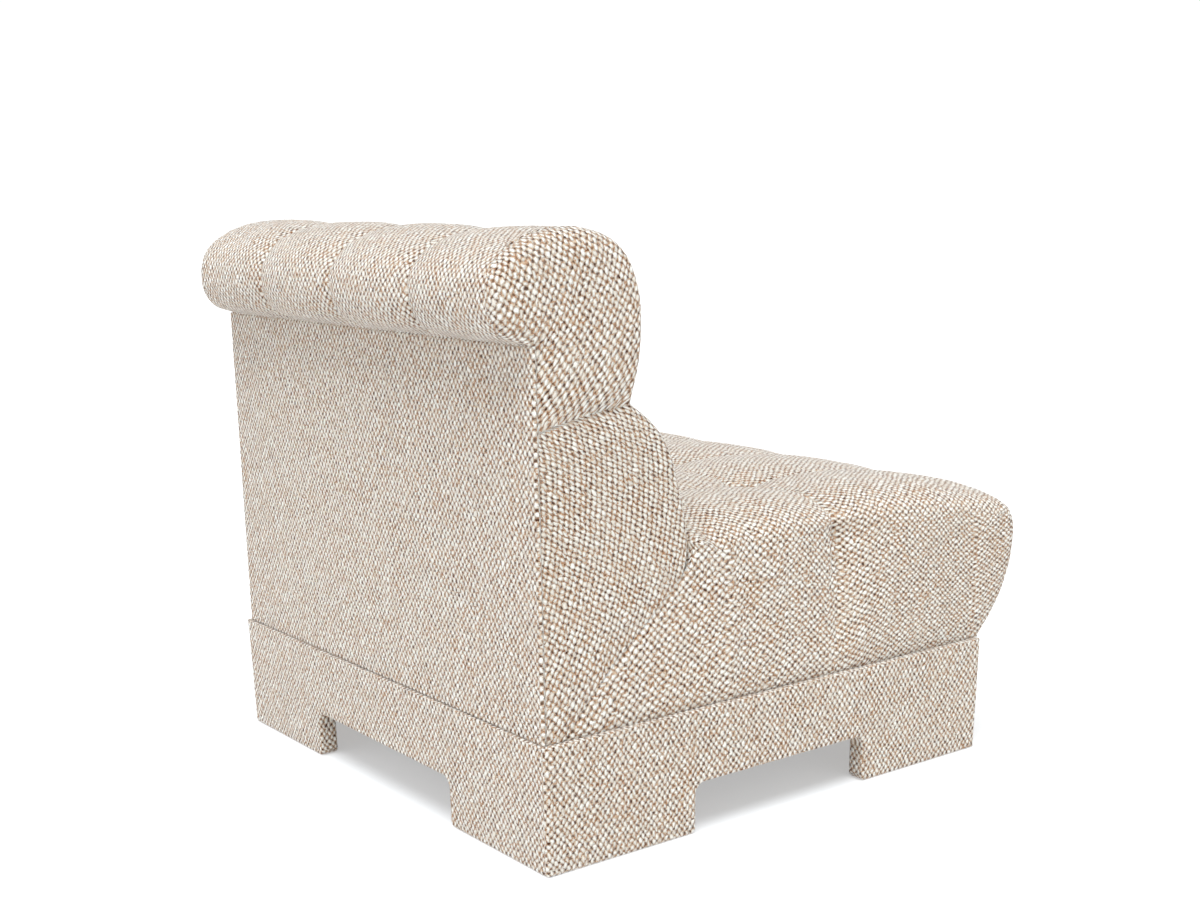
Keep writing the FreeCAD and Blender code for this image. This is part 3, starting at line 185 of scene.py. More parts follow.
def dense(points):
    """A smooth curve through the points, as a fine polyline."""
    p = np.array(points, float)
    gap = np.linalg.norm(np.diff(p, axis=0), axis=1)
    t = lengths(p)
    slope = np.gradient(p, t, axis=0) if len(p) > 2 else np.repeat([(p[1] - p[0]) / gap[0]], 2, 0)
    fine = np.linspace(0, t[-1], max(3, int(t[-1] * FINENESS)))
    k = np.clip(np.searchsorted(t, fine, "right") - 1, 0, len(gap) - 1)
    h = ((fine - t[k]) / gap[k])[:, None]
    size = gap[k][:, None]
    return (
        (2 * h**3 - 3 * h**2 + 1) * p[k]
        + (h**3 - 2 * h**2 + h) * slope[k] * size
        + (3 * h**2 - 2 * h**3) * p[k + 1]
        + (h**3 - h**2) * slope[k + 1] * size
    )


def polyline(points):
    """Straight runs between the points, as a fine polyline."""
    return np.concatenate([dense(pair) for pair in zip(points[:-1], points[1:])])


def lengths(path):
    """Length of a polyline up to each of its points."""
    return np.concatenate(([0], np.cumsum(np.linalg.norm(np.diff(path, axis=0), axis=1))))


def along(path, fractions):
    """Points at these fractions of a polyline's length."""
    at = lengths(path)
    return np.stack([np.interp(fractions * at[-1], at, path[:, i]) for i in range(path.shape[1])], 1)


def crowd(count, ends=(1, 1), strength=0.7):
    """Numbers from 0 to 1, closer together at both ends, or at only the first or the last."""
    t = np.linspace(0, 1, count + 1)
    if ends == (1, 1):
        return t - strength * np.sin(2 * np.pi * t) / (2 * np.pi)
    way = 1 if ends == (0, 1) else -1
    return t + way * strength * np.sin(np.pi * t) / np.pi


def from_foot(count):
    """Even steps from 0 to 1 with two short ones first, so that the foot's edge stays crisp."""
    return np.concatenate([[0, 0.004], np.linspace(0.014, 1, count - 1)])


def closed(grid):
    """The grid or loop with its first row again at the end."""
    return np.concatenate([grid, grid[:1]])


def smoothed(ring, passes=12):
    """Values round a closed loop, each averaged with its two neighbours, pass after pass."""
    for _ in range(passes):
        ring = (np.roll(ring, 1) + ring + np.roll(ring, -1)) / 3
    return ring


def outward(loop):
    """Unit normals of a closed loop that runs anticlockwise."""
    run = np.roll(loop, -1, 0) - np.roll(loop, 1, 0)
    normal = np.stack([run[:, 1], -run[:, 0]], 1)
    return normal / np.maximum(np.linalg.norm(normal, axis=1, keepdims=True), 1e-9)


def lattice_noise(points, cell, seed):
    """Smooth noise from -1 to 1 whose features are about a cell across."""
    q = np.asarray(points, float) / cell + LATTICE_SHIFT
    base = np.floor(q).astype(np.int64)
    f = q - base
    f = f * f * (3 - 2 * f)
    total = np.zeros(q.shape[:-1])
    for corner in itertools.product((0, 1), repeat=q.shape[-1]):
        c = np.array(corner)
        i = base + c
        code = seed * SEED_MIXER + sum(i[..., axis] * AXIS_MIXERS[axis] for axis in range(i.shape[-1]))
        code = (code ^ (code >> 13)) * CODE_MIXER
        code = (code ^ (code >> 16)) & CODE_LIMIT
        weight = np.prod(np.where(c, f, 1 - f), axis=-1)
        total += weight * code / CODE_LIMIT
    return 2 * total - 1


class Shell:
    """Grids of points with weave coordinates, welded into one closed mesh."""

    def __init__(self):
        self.points = []
        self.weave = []
        self.faces = []
        self.count = 0

    def add(self, points, weave):
        rows, columns = points.shape[:2]
        index = self.count + np.arange(rows * columns).reshape(rows, columns)
        self.count += rows * columns
        self.points.append(points.reshape(-1, 3))
        self.weave.append(weave.reshape(-1, 2))
        quads = np.stack([index[:-1, :-1], index[1:, :-1], index[1:, 1:], index[:-1, 1:]], -1)
        self.faces.append(quads.reshape(-1, 4))

    def build(self, name):
        points = np.concatenate(self.points) * MM
        weave = np.concatenate(self.weave) * MM
        faces = np.concatenate(self.faces)
        spots = np.round(points * WELD_STEPS).astype(np.int64)
        _, first, same = np.unique(spots, axis=0, return_index=True, return_inverse=True)
        same = same.reshape(-1)
        polygons, corners = [], []
        for face in faces.tolist():
            ring, kept = [], []
            for corner in face:
                vertex = int(same[corner])
                if vertex not in ring:
                    ring.append(vertex)
                    kept.append(corner)
            if len(ring) > 2:
                polygons.append(ring)
                corners.extend(kept)
        mesh = bpy.data.meshes.new(name)
        mesh.from_pydata(points[first].tolist(), [], polygons)
        layer = mesh.uv_layers.new(name="weave")
        layer.data.foreach_set("uv", weave[corners].astype(np.float32).ravel())
        bm = bmesh.new()
        bm.from_mesh(mesh)
        bmesh.ops.recalc_face_normals(bm, faces=bm.faces)
        bm.to_mesh(mesh)
        bm.free()
        mesh.polygons.foreach_set("use_smooth", [True] * len(mesh.polygons))
        return add_object(name, mesh)


def add_object(name, data):
    """A new object in the scene."""
    made = bpy.data.objects.new(name, data)
    bpy.context.scene.collection.objects.link(made)
    return made


def world(x, reach, height):
    """Points in the frame's axes, still in millimetres."""
    x, reach, height = np.broadcast_arrays(x, reach, height)
    return np.stack([x, BACK_MM - reach, height], -1)


def side_view(points):
    """Reach and height of points in the frame's axes."""
    return BACK_MM - points[..., 1], points[..., 2]


def moved_across(grid, push):
    """The grid with each point moved along x."""
    return grid + np.stack([push, 0 * push, 0 * push], -1)


def coons(bottom, top, left, right):
    """A patch inside four edges. Bottom and top run the same way, and so do left and right."""
    u = np.linspace(0, 1, len(bottom))[None, :, None]
    v = np.linspace(0, 1, len(left))[:, None, None]
    flat = (1 - v) * bottom[None] + v * top[None] + (1 - u) * left[:, None] + u * right[:, None]
    low = (1 - u) * (1 - v) * bottom[0] + u * (1 - v) * bottom[-1]
    corners = low + (1 - u) * v * top[0] + u * v * top[-1]
    return flat - corners


def rim_distance(grid):
    """How far each point of a patch is from the nearest end of its row or column."""
    rims = (grid[:1], grid[-1:], grid[:, :1], grid[:, -1:])
    return np.minimum.reduce([np.linalg.norm(grid - rim, axis=2) for rim in rims])


def stations(half, lateral, outer=22, arc=12):
    """Across the chair: x of each station, and the angle that each has turned round the end."""
    columns = 30
    inner = SEAM_PITCH * crowd(columns)
    flat = half - lateral
    step = crowd(outer, (1, 0))[1:]
    outside = SEAM_PITCH + (flat - SEAM_PITCH)[:, None] * step[None]
    angle = np.linspace(0, QUARTER, arc + 1)[1:]
    around = half - lateral[:, None] * (1 - np.sin(angle))[None]
    right = np.concatenate([np.repeat(inner[None], len(lateral), 0), outside, around], 1)
    turn = np.concatenate([np.zeros(columns + 1 + outer), angle])
    x = np.concatenate([-right[:, :0:-1], right], 1)
    theta = np.concatenate([-turn[:0:-1], turn])
    return x, theta


def strip(loop, end, lateral, half, depth, **counts):
    """Sweeps a closed loop across the chair and rounds it to the end outline at both ends.

    depth(x, theta) gives how deep the stitching pulls each point in. Returns points and weave.
    """
    x, theta = stations(half, lateral, **counts)
    normal = outward(loop)
    blend = (1 - np.cos(theta))[None, :, None]
    side = loop[:, None] + (end - loop)[:, None] * blend
    pull = depth(x, theta)
    side = side - normal[:, None] * (pull * np.cos(theta)[None])[..., None]
    x = x - pull * np.sin(theta)[None]
    points = world(x, side[..., 0], side[..., 1])
    run = np.linalg.norm(np.diff(points, axis=1), axis=2)
    middle = points.shape[1] // 2
    distance = np.concatenate([np.zeros((len(loop), 1)), np.cumsum(run, 1)], 1)
    u = distance - distance[:, middle : middle + 1]
    v = np.repeat(lengths(closed(loop))[:-1, None], u.shape[1], 1)
    return points, np.stack([u, v], -1)


def seam_distance(x):
    """Distance across the chair to the nearest lengthways seam."""
    return np.min([np.abs(x - seam) for seam in SEAMS], axis=0)


def seam_dip(away, width, fold, crease, power=2.4):
    """How deep a seam draws the cloth in: a wide fold, and a tight crease at the stitching."""
    near = np.clip(1 - away / width, 0, 1)
    return fold * near**power + crease * np.exp(-away / STITCH_REACH)


def pucker(across_seam, along_seam, seed, size, reach, cell=17):
    """Small gathers that run out from a seam and fade."""
    ripple = lattice_noise(np.stack([along_seam, 0 * along_seam + 7 * seed], -1), cell, seed)
    return size * ripple * np.exp(-across_seam / reach)


def lumps(x, reach, height, seed, size=0.9):
    """Slight unevenness of stuffing under the cloth: wide lumps, and smaller ones on them."""
    spot = np.stack(np.broadcast_arrays(x, reach, height), -1)
    wide = size * lattice_noise(spot, LUMP, seed)
    return wide + 0.45 * size * lattice_noise(spot, LUMP / 2.3, seed + 1)


def seat_side_weave(edge, edge_weave, reach, height):
    """Weave of a side of the seat: the cloth hangs from the top's edge, where the rows carry on."""
    first, last = 290, 760
    lean, upright_reach, full_drop = 0.146, 500, 260
    edge_reach, edge_height = side_view(edge)
    flat_top = np.flatnonzero((edge_reach > first) & (edge_reach < last))
    order = flat_top[np.argsort(edge_reach[flat_top])]
    v = np.interp(reach, edge_reach[order], edge_weave[order, 1])
    v += np.maximum(first - reach, 0) - np.maximum(reach - last, 0)
    u = np.interp(reach, edge_reach[order], np.abs(edge_weave[order, 0]))
    drop = np.interp(reach, edge_reach[order], edge_height[order]) - height
    return u + drop + lean * (reach - upright_reach) * np.clip(drop / full_drop, 0, 1), v


def seat_side(grid, sign):
    """A side of the seat, swelled out between its edges and drawn in along the side seam."""
    seam_rise, shoulder, swell, top_fade = 200, 360, 4.5, 0.06
    reach, height = side_view(grid)
    rows, columns = grid.shape[:2]
    u = np.linspace(0, 1, columns)[None]
    v = np.linspace(0, 1, rows)[:, None]
    inside = 1 - np.exp(-rim_distance(grid) / RIM_REACH)
    risen = np.clip((height - PLINTH_TOP) / seam_rise, 0, 1)
    off = np.abs(reach - (SIDE_SEAM_REACH + (SEAT_SEAM_REACH - SIDE_SEAM_REACH) * risen))
    fade = np.clip((height - SIDE_SEAM_END) / (shoulder - SIDE_SEAM_END), 0, 1) ** 0.8
    crease = fade * seam_dip(off, width=110, fold=9, crease=3.5)
    top_depth = crease[-1:] * np.exp(-(1 - v) / top_fade)
    bulge = 1 + swell * (np.sin(np.pi * v) ** 0.7) * (np.sin(np.pi * u) ** 0.5)
    ripple = pucker(off, height, seed=9, size=2.2, reach=24, cell=15) * fade
    ripple = ripple + lumps(grid[..., 0], reach, height, seed=21, size=0.8)
    return moved_across(grid, sign * (bulge * inside - (crease - top_depth) - ripple * inside))


def seat_quilt():
    """The tufted seat: a strip round its section, and a patch over each side."""
    front_count, top_front, top_rear = 40, 56, 44
    top_count = top_front + top_rear
    to_seam, from_seam = crowd(top_front, (0, 1)), crowd(top_rear, (1, 0))
    to_foot = 1 - from_foot(front_count)[::-1]
    front = dense(SEAT_FRONT + SEAT_TOP[1:])
    split = int(np.argmin(np.hypot(front[:, 0] - SEAT_TOP[0][0], front[:, 1] - SEAT_TOP[0][1])))
    nose, top = front[: split + 1], front[split:]
    seam = int(np.argmin(np.abs(top[:, 0] - SEAT_SEAM_REACH)))
    up = along(nose, from_foot(front_count))
    over = np.concatenate([along(top[: seam + 1], to_seam), along(top[seam:], from_seam)[1:]])
    down = along(polyline(SEAT_REAR), to_foot)
    heel, toe = SEAT_REAR[-1][0], SEAT_FRONT[0][0]
    under_reach = np.concatenate([
        heel + (SIDE_SEAM_REACH - heel) * (1 - from_seam[::-1]),
        SIDE_SEAM_REACH + (toe - SIDE_SEAM_REACH) * (1 - to_seam[::-1])[1:],
    ])
    under_reach[1:4] = heel + HEEL_STEPS
    under_reach[-3:-1] = toe - TOE_STEPS
    under = np.stack([under_reach, np.full(len(under_reach), BODY_FOOT)], 1)
    loop = np.concatenate([up[:-1], over[:-1], down[:-1], under[:-1]])

    # The loop's runs meet at a (front and top), b (top and rear) and c (rear and underside).
    a, b, c = front_count, front_count + top_count, 2 * front_count + top_count
    normal = outward(loop)
    shown = np.zeros(len(loop))
    shown[: b + 1] = 1
    shown[:6] = np.linspace(0.2, 1, 6)
    facing_up = np.clip(normal[:, 1], 0, 1) ** 2
    facing_out = np.clip(normal[:, 0], 0, 1) ** 2

    # The end outline is the loop set in. Lateral is how far before the side each point starts to turn
    # to it: far on the top, less on the front, and hardly at all down the rear and at the foot.
    top_inset, front_inset = 42, 13
    top_lateral, front_lateral, falling_to, least_lateral = 100, 20, -60, 1.3
    end = loop - normal * (top_inset * facing_up + front_inset * facing_out)[:, None]
    end[b + 1 : c + 1] = along(polyline([tuple(end[b])] + SEAT_REAR_AT_END), to_foot)[1:]
    lateral = top_lateral * facing_up + front_lateral * facing_out
    lateral[b : c + 1] = np.maximum(np.linspace(lateral[b], falling_to, front_count + 1), least_lateral)
    end[c:] = under[:-1] + np.array([0, FOOT_LIFT])
    end[0] = (toe - 1, BODY_FOOT + FOOT_LIFT)
    end[c] = SEAT_REAR_AT_END[-1]
    lateral[c:] = FOOT_ROUND
    lateral[:7] = np.linspace(FOOT_ROUND, lateral[7], 7)
    run = lengths(loop)
    seam_run = run[a + top_front]

    def depth(x, theta):
        """The lengthways seams fade round the ends. The cross seam deepens there by a quarter."""
        tuft_depth, tuft_reach = 11, 22
        away = seam_distance(x)
        gone = np.abs(run - seam_run)[:, None] + 0 * x
        flat = np.cos(theta)[None] ** 2
        fold = seam_dip(away, width=SEAM_PITCH / 2, fold=10, crease=3.5)
        cross = seam_dip(gone, width=125, fold=10, crease=3.5)
        tuft = tuft_depth * np.exp(-np.hypot(away, gone) / tuft_reach)
        gather = pucker(away, run[:, None] + 0 * x, seed=3, size=2.2, reach=18) * flat
        gather = gather + pucker(gone, x, seed=5, size=2.2, reach=18)
        shape = lumps(x, loop[:, :1], loop[:, 1:], seed=11)
        drawn_in = fold * flat + cross * (1 + 0.25 * (1 - flat)) + tuft * flat
        return shown[:, None] * (drawn_in + gather + shape)

    points, weave = strip(loop, end, lateral, SIDE, depth)
    shell = Shell()
    shell.add(closed(points), np.concatenate([weave, weave[:1] + [[[0, run[-1]]]]]))
    for sign, column in ((-1, 0), (1, -1)):
        edge = points[:, column]
        grid = coons(closed(edge)[c:], edge[a : b + 1][::-1], edge[b : c + 1][::-1], edge[: a + 1])
        top_edge, top_weave = edge[a : b + 1][::-1], weave[a : b + 1, column][::-1]
        u, v = seat_side_weave(top_edge, top_weave, *side_view(grid))
        shell.add(seat_side(grid, sign), np.stack([sign * u, v], -1))
    return shell.build("seat_quilt")


def fan_cap(edge):
    """Fills a hidden closed edge with rings towards its middle."""
    ring = closed(edge)
    centre = np.repeat(edge.mean(0)[None], len(ring), 0)
    return np.stack([ring, 0.5 * (ring + centre), centre])


def channelled(name, shown_path, hidden_path, seed, shown_count, hidden_count):
    """A pad whose lengthways channels run round its section between the two end panels.

    The stuffing has settled a little more towards the sitter's right, at -x, as in the photograph.
    """
    face = along(dense(shown_path), np.linspace(0, 1, shown_count + 1))
    rear = along(polyline(hidden_path), np.linspace(0, 1, hidden_count + 1))
    loop = np.concatenate([face[:-1], rear[:-1]])
    run = lengths(loop)
    ramp = np.linspace(0, 1, 5)
    shown = np.zeros(len(loop))
    shown[: shown_count + 1] = 1
    shown[:5] = ramp
    shown[shown_count - 4 : shown_count + 1] = ramp[::-1]
    end_inset, top_inset, least_lateral, top_lateral = 1.5, 2.5, 5, 50
    upward = np.clip(outward(loop)[:, 1:], 0, 1) ** 2 * shown[:, None]
    end = loop - outward(loop) * (end_inset * shown[:, None] + top_inset * upward)
    lateral = least_lateral + top_lateral * upward[:, 0]

    def depth(x, _):
        """Fold, gathers and lumps on the shown part, and the settling."""
        away = seam_distance(x)
        fold = seam_dip(away, width=SEAM_PITCH / 2, fold=6.5, crease=2.6, power=2.6)
        gather = pucker(away, run[:, None] + 0 * x, seed, size=2.2, reach=16, cell=16)
        shape = lumps(x, loop[:, :1], loop[:, 1:], seed + 30)
        settled = SETTLING * upward * (0.5 - x / (2 * PANEL_INSIDE))
        return shown[:, None] * (fold + gather + shape) + settled

    # The channels' stitching shifts the rows beside it a little.
    row_shift, shift_reach = 1.6, 14
    points, weave = strip(loop, end, lateral, PANEL_INSIDE, depth, arc=4, outer=26)
    weave[..., 1] += row_shift * np.exp(-seam_distance(points[..., 0]) / shift_reach)
    shell = Shell()
    shell.add(closed(points), closed(weave))
    for edge in (points[:, 0], points[:, -1]):
        cap = fan_cap(edge)
        shell.add(cap, cap[..., 1:])
    return shell.build(name)


def crease_height(reach):
    """Height of the crease between the lower back and the roll, across an end panel."""
    return np.interp(reach, [p[0] for p in CREASE], [p[1] for p in CREASE])


def end_face(grid, sign):
    """The end panel's outer face, swelled out a little and drawn in at its rim and along the crease."""
    swell, roll_swell, swell_reach = 3, 2, 22
    roll_foot, roll_rise, crease_end, crease_run = 560, 60, 8, 110
    reach, height = side_view(grid)
    rim = rim_distance(grid)
    upper = np.clip((height - roll_foot) / roll_rise, 0, 1)
    bulge = (swell + roll_swell * upper) * (1 - np.exp(-rim / swell_reach))
    off = np.abs(height - crease_height(reach))
    fade = np.clip((reach - crease_end) / crease_run, 0, 1) ** 0.8
    pinch = fade * seam_dip(off, width=40, fold=8, crease=4)
    ripple = pucker(off, reach, seed=13, size=1.6, reach=20, cell=15) * fade
    ripple = ripple + lumps(grid[..., 0], reach, height, seed=23, size=1.0)
    return moved_across(grid, sign * (bulge - (pinch + ripple) * (1 - np.exp(-rim / RIM_REACH))))


def end_panel(name, sign):
    """The cover on one end of the back and roll. Sign is the side of the chair that it is on."""
    diagonal, lumbar, rolled, cap, notch = 36, 44, 46, 34, 14
    front = np.concatenate([
        along(dense(PANEL_FRONT[0]), from_foot(diagonal))[:-1],
        along(dense(PANEL_FRONT[1]), crowd(lumbar, (0, 1), 0.6))[:-1],
        along(dense(PANEL_FRONT[2]), crowd(rolled, (1, 0), 0.6)),
    ])
    top = along(dense(PANEL_TOP), np.linspace(0, 1, cap + 1))
    rear = np.concatenate([
        along(polyline(PANEL_REAR[0]), from_foot(diagonal))[:-1],
        along(polyline(PANEL_REAR[1]), crowd(lumbar, (0, 1), 0.6))[:-1],
        along(polyline(PANEL_REAR[2]), crowd(notch, (1, 0), 0.6))[:-1],
        along(dense(PANEL_REAR[3]), np.linspace(0, 1, rolled - notch + 1)),
    ])
    bottom = np.stack([np.linspace(rear[0, 0], front[0, 0], cap + 1), np.full(cap + 1, BODY_FOOT)], 1)
    loop = np.concatenate([bottom[:-1], front[:-1], top[:-1], rear[:0:-1]])

    # How far the face is set in from the loop: at the bottom, the diagonal, the lower back, the front
    # of the roll, its top and rear, and the rear edge. The rim is rounded only where that is deep.
    set_in = (
        (cap, 0.4), (diagonal, 0.5), (lumbar, 11), (rolled, 12), (cap + rolled - notch, 16),
        (diagonal + lumbar + notch, 2),
    )
    deep_from, deep_lateral, least_lateral, falls_above = 10, 19.0, 1.3, 640
    inset = np.concatenate([np.full(count, size) for count, size in set_in])
    lateral = smoothed(np.where(inset > deep_from, deep_lateral, least_lateral))
    normal = outward(loop)
    end = loop - normal * smoothed(inset)[:, None]
    fallen = np.where(loop[:, 1] > falls_above, np.clip(normal[:, 1], 0, 1) ** 2, 0)[:, None]
    end = end - normal * END_FALL[sign] * fallen
    angle = np.linspace(0, QUARTER, 13)
    blend = (1 - np.cos(angle))[None, :, None]
    side = (loop - normal * (1 + END_FALL[sign] * fallen))[:, None] * (1 - blend) + end[:, None] * blend
    x = SIDE - lateral[:, None] * (1 - np.sin(angle))[None]

    # One more row carries the rim 1 mm past the ends of the pads between the two panels.
    side = np.concatenate([side[:, :1], side], 1)
    x = np.concatenate([np.full((len(loop), 1), PANEL_INSIDE - 1.0), x], 1)
    x[:, 1] = np.maximum(x[:, 1], PANEL_INSIDE)
    rounded = world(sign * x, side[..., 0], side[..., 1])
    run = np.linalg.norm(np.diff(rounded, axis=1), axis=2)
    out = np.concatenate([np.cumsum(run[:, ::-1], 1)[:, ::-1], np.zeros((len(loop), 1))], 1)
    flat = end[:, None] + normal[:, None] * out[..., None]

    def weave_of(reach, height):
        """The cloth leans more and more towards the top of each of the two swells."""
        lumbar_lean = LUMBAR_LEAN * (height - LUMBAR_UPRIGHT) ** 2 - LUMBAR_SHIFT
        roll_lean = ROLL_LEAN * (height - ROLL_UPRIGHT) ** 2
        u = CROWDING * reach + np.where(height > crease_height(reach), roll_lean, lumbar_lean)
        v = height * math.cos(CLOTH_TILT) - reach * math.sin(CLOTH_TILT)
        return np.stack([-sign * u, v], -1)

    # The loop's runs meet at b (bottom and front), c (front and top) and d (top and rear).
    rows = len(front) - 1
    b, c, d = cap, cap + rows, 2 * cap + rows
    shell = Shell()
    shell.add(closed(rounded), closed(weave_of(flat[..., 0], flat[..., 1])))
    for column, is_face in ((-1, True), (0, False)):
        ring = closed(rounded[:, column])
        grid = coons(ring[: b + 1], ring[c : d + 1][::-1], ring[d:][::-1], ring[b : c + 1])
        shell.add(end_face(grid, sign) if is_face else grid, weave_of(*side_view(grid)))
    return shell.build(name)


def outside_back_panel():
    """The flat back: a thin padded sheet, tucked in at its edges."""
    half, near_half, low, high, thick = 397, 395, BODY_FOOT, 637, 6
    side_round, end_round, most_dip, bulge, even_rim, tuck = 3, 1.5, 4.0, 1.5, 12, 0.8
    steps = np.array([1.2, 2.8, 4.6])
    between = np.linspace(-near_half, half, 161)[1:-1]
    between = between[(between > 6 - near_half) & (between < half - 6)]
    x = np.concatenate([[-near_half], steps - near_half, between, half - steps[::-1], [half]])
    rows = np.linspace(low + 7, high - 7, 88)
    z = np.concatenate([[low], low + steps, rows, high - steps[::-1], [high]])
    gx, gz = np.meshgrid(x, z)
    side = np.minimum(gx + near_half, half - gx)
    ends = np.minimum(gz - low, high - gz)
    dip = 0
    for away, size in ((side, side_round), (ends, end_round)):
        near = np.clip(1 - away / (size + 0.5), 0, 1)
        dip = dip + size * (1 - np.sqrt(1 - near**2))
    up = np.clip((gz - low) / (high - low), 0, 1)
    swell = bulge * (1 - np.abs(gx / half) ** 4) * np.sin(np.pi * up) ** 0.6
    uneven = lumps(gx, 0 * gx, gz, seed=41, size=0.7)
    uneven = uneven * np.clip(np.minimum(side, ends) / even_rim, 0, 1)
    face = world(gx, np.minimum(dip, most_dip) - swell + uneven + tuck, gz)
    shell = Shell()
    shell.add(face, np.stack([-gx, gz], -1))
    rim = np.concatenate([face[0], face[1:, -1], face[-1, -2::-1], face[-2:0:-1, 0]])
    rear = rim.copy()
    rear[:, 1] = BACK_MM - thick
    wall = np.stack([closed(rim), closed(rear)])
    spread = np.array([[[1.0]], [[1 + thick / half]]])
    middle = np.array([0, (low + high) / 2])
    shell.add(wall, (wall[..., ::2] - middle) * spread * [-1, 1] + middle)
    inner = face.copy()
    inner[..., 1] = BACK_MM - thick
    shell.add(inner, inner[..., ::2])
    return shell.build("outside_back_panel")


def quarter(k, steps):
    """The angle after k of the steps of a quarter turn."""
    return k / steps * math.pi / 2


def arch_edge(half_arch, half_side):
    """Lower edge of one side, from its middle outwards: place, height and the way out of the cloth."""
    points = [(t, ARCH_TOP, 0, -1) for t in np.linspace(0, half_arch - ARCH_CORNER, 26)]
    for angle in np.linspace(0, QUARTER, 9)[1:]:
        across, up = math.sin(angle), math.cos(angle)
        t = half_arch - ARCH_CORNER + ARCH_CORNER * across
        points.append((t, ARCH_TOP - ARCH_CORNER + ARCH_CORNER * up, -across, -up))
    for height in np.linspace(ARCH_TOP - ARCH_CORNER, FLOOR_GAP + ARCH_FOOT, 10)[1:]:
        points.append((half_arch, height, -1, 0))
    for angle in np.linspace(0, QUARTER, 8)[1:]:
        across, down = math.cos(angle), math.sin(angle)
        t = half_arch + ARCH_FOOT - ARCH_FOOT * across
        points.append((t, FLOOR_GAP + ARCH_FOOT - ARCH_FOOT * down, -across, -down))
    for t in np.linspace(half_arch + ARCH_FOOT, half_side - PLINTH_CORNER, 34)[1:]:
        points.append((t, FLOOR_GAP, 0, -1))
    return points


def skirt_columns():
    """Every upright line of the plinth cover, and the length of cloth all the way round.

    A line has its side's turn and half sizes, its place, the height and the way out of its lower edge,
    its angle if it is on a corner, and its place round the cloth.
    """
    columns = []
    perimeter = 0
    for side in range(4):
        axis = side % 2
        half, other = PLINTH_HALF[axis], PLINTH_HALF[1 - axis]
        turn = -side * math.pi / 2
        edge = arch_edge(ARCH_HALF[axis], half)
        straight = 2 * (half - PLINTH_CORNER)
        for t, z, out_t, out_z in [(-t, z, -a, b) for t, z, a, b in edge[:0:-1]] + edge:
            columns.append((turn, half, other, t, z, out_t, out_z, None, perimeter + t + straight / 2))
        perimeter += straight
        for k in range(1, CORNER_STEPS):
            angle = quarter(k, CORNER_STEPS)
            u = perimeter + angle * PLINTH_CORNER
            columns.append((turn, half, other, half - PLINTH_CORNER, FLOOR_GAP, 0, -1, angle, u))
        perimeter += math.pi / 2 * PLINTH_CORNER
    return columns, perimeter


def skirt_point(column, deep, level, shift):
    """A point `deep` under the outer face. Before a corner, deep points draw in to meet the corner's."""
    turn, half, other, t, _, _, _, angle, _ = column
    radius = max(PLINTH_CORNER - deep, 1.0)
    if angle is None:
        limit = half - PLINTH_CORNER
        inner = half - deep - radius
        along_side = t + shift
        if abs(along_side) > limit - EASING:
            share = (abs(along_side) - (limit - EASING)) / EASING
            along_side = math.copysign(limit - EASING + share * (inner - limit + EASING), along_side)
        across = other - deep
    else:
        along_side = half - deep - radius + radius * math.sin(angle)
        across = other - deep - radius + radius * math.cos(angle)
    flare = 1 + PLINTH_FLARE * (level - FLOOR_GAP) / (PLINTH_TOP - FLOOR_GAP) / FLARE_HALF
    px, py = along_side * flare, across * flare
    return (px * math.cos(turn) - py * math.sin(turn), px * math.sin(turn) + py * math.cos(turn), level)


def skirt_line(column):
    """Points and weave of one upright line: down the face, round the edge, up inside and over the top."""
    z, out_t, out_z = column[4:7]
    u = column[-1]
    points, weave = [], []

    def put(deep, up, slide=0.0):
        """Up is measured from the lower edge into the cloth, along the edge's own way."""
        shift = -out_t * up
        points.append(skirt_point(column, deep, z - out_z * up, shift))
        weave.append((u + shift + out_t * slide, z - out_z * up + out_z * slide))

    face_foot = z - out_z * LIP
    for share in np.linspace(1, 0, FACE_ROWS + 1):
        level = face_foot + (PLINTH_TOP - CROWN_ROUND - face_foot) * share
        points.append(skirt_point(column, 0, level, -out_t * LIP * (1 - share)))
        weave.append((u - out_t * LIP * (1 - share), level))
    for k in range(1, 6):
        corner = quarter(k, 5)
        up = LIP * (1 - math.sin(corner))
        put(LIP * (1 - math.cos(corner)), up, slide=LIP * (corner - math.sin(corner)))
    for k in range(1, 5):
        deep = LIP + (CHEEK - 2 * LIP) * k / 4
        put(deep, 0, slide=deep)
    for k in range(1, 5):
        corner = quarter(k, 4)
        put(CHEEK - LIP + LIP * math.sin(corner), LIP * (1 - math.cos(corner)), slide=CHEEK)
    for k in range(1, 4):
        put(CHEEK, LIP + (TURN_IN - LIP) * k / 3, slide=CHEEK)
    for deep, up in ((CHEEK - WRAP, TURN_IN), (CHEEK - WRAP, WRAP), (WRAP, WRAP)):
        put(deep, up)

    # Its inner edge, the crown outwards from there, and the crown's rounding towards the face.
    points.append(skirt_point(column, LEDGE, PLINTH_TOP - 0.5, 0))
    weave.append((u, PLINTH_TOP + LEDGE))
    for deep in (LEDGE, LEDGE - 1, CROWN_ROUND):
        points.append(skirt_point(column, deep, CROWN, 0))
        weave.append((u, CROWN + deep))
    for k in (1, 2, 3):
        corner = quarter(k, 4)
        deep = CROWN_ROUND * (1 - math.sin(corner))
        points.append(skirt_point(column, deep, CROWN - CROWN_ROUND * (1 - math.cos(corner)), 0))
        weave.append((u, CROWN + deep))
    return points, weave


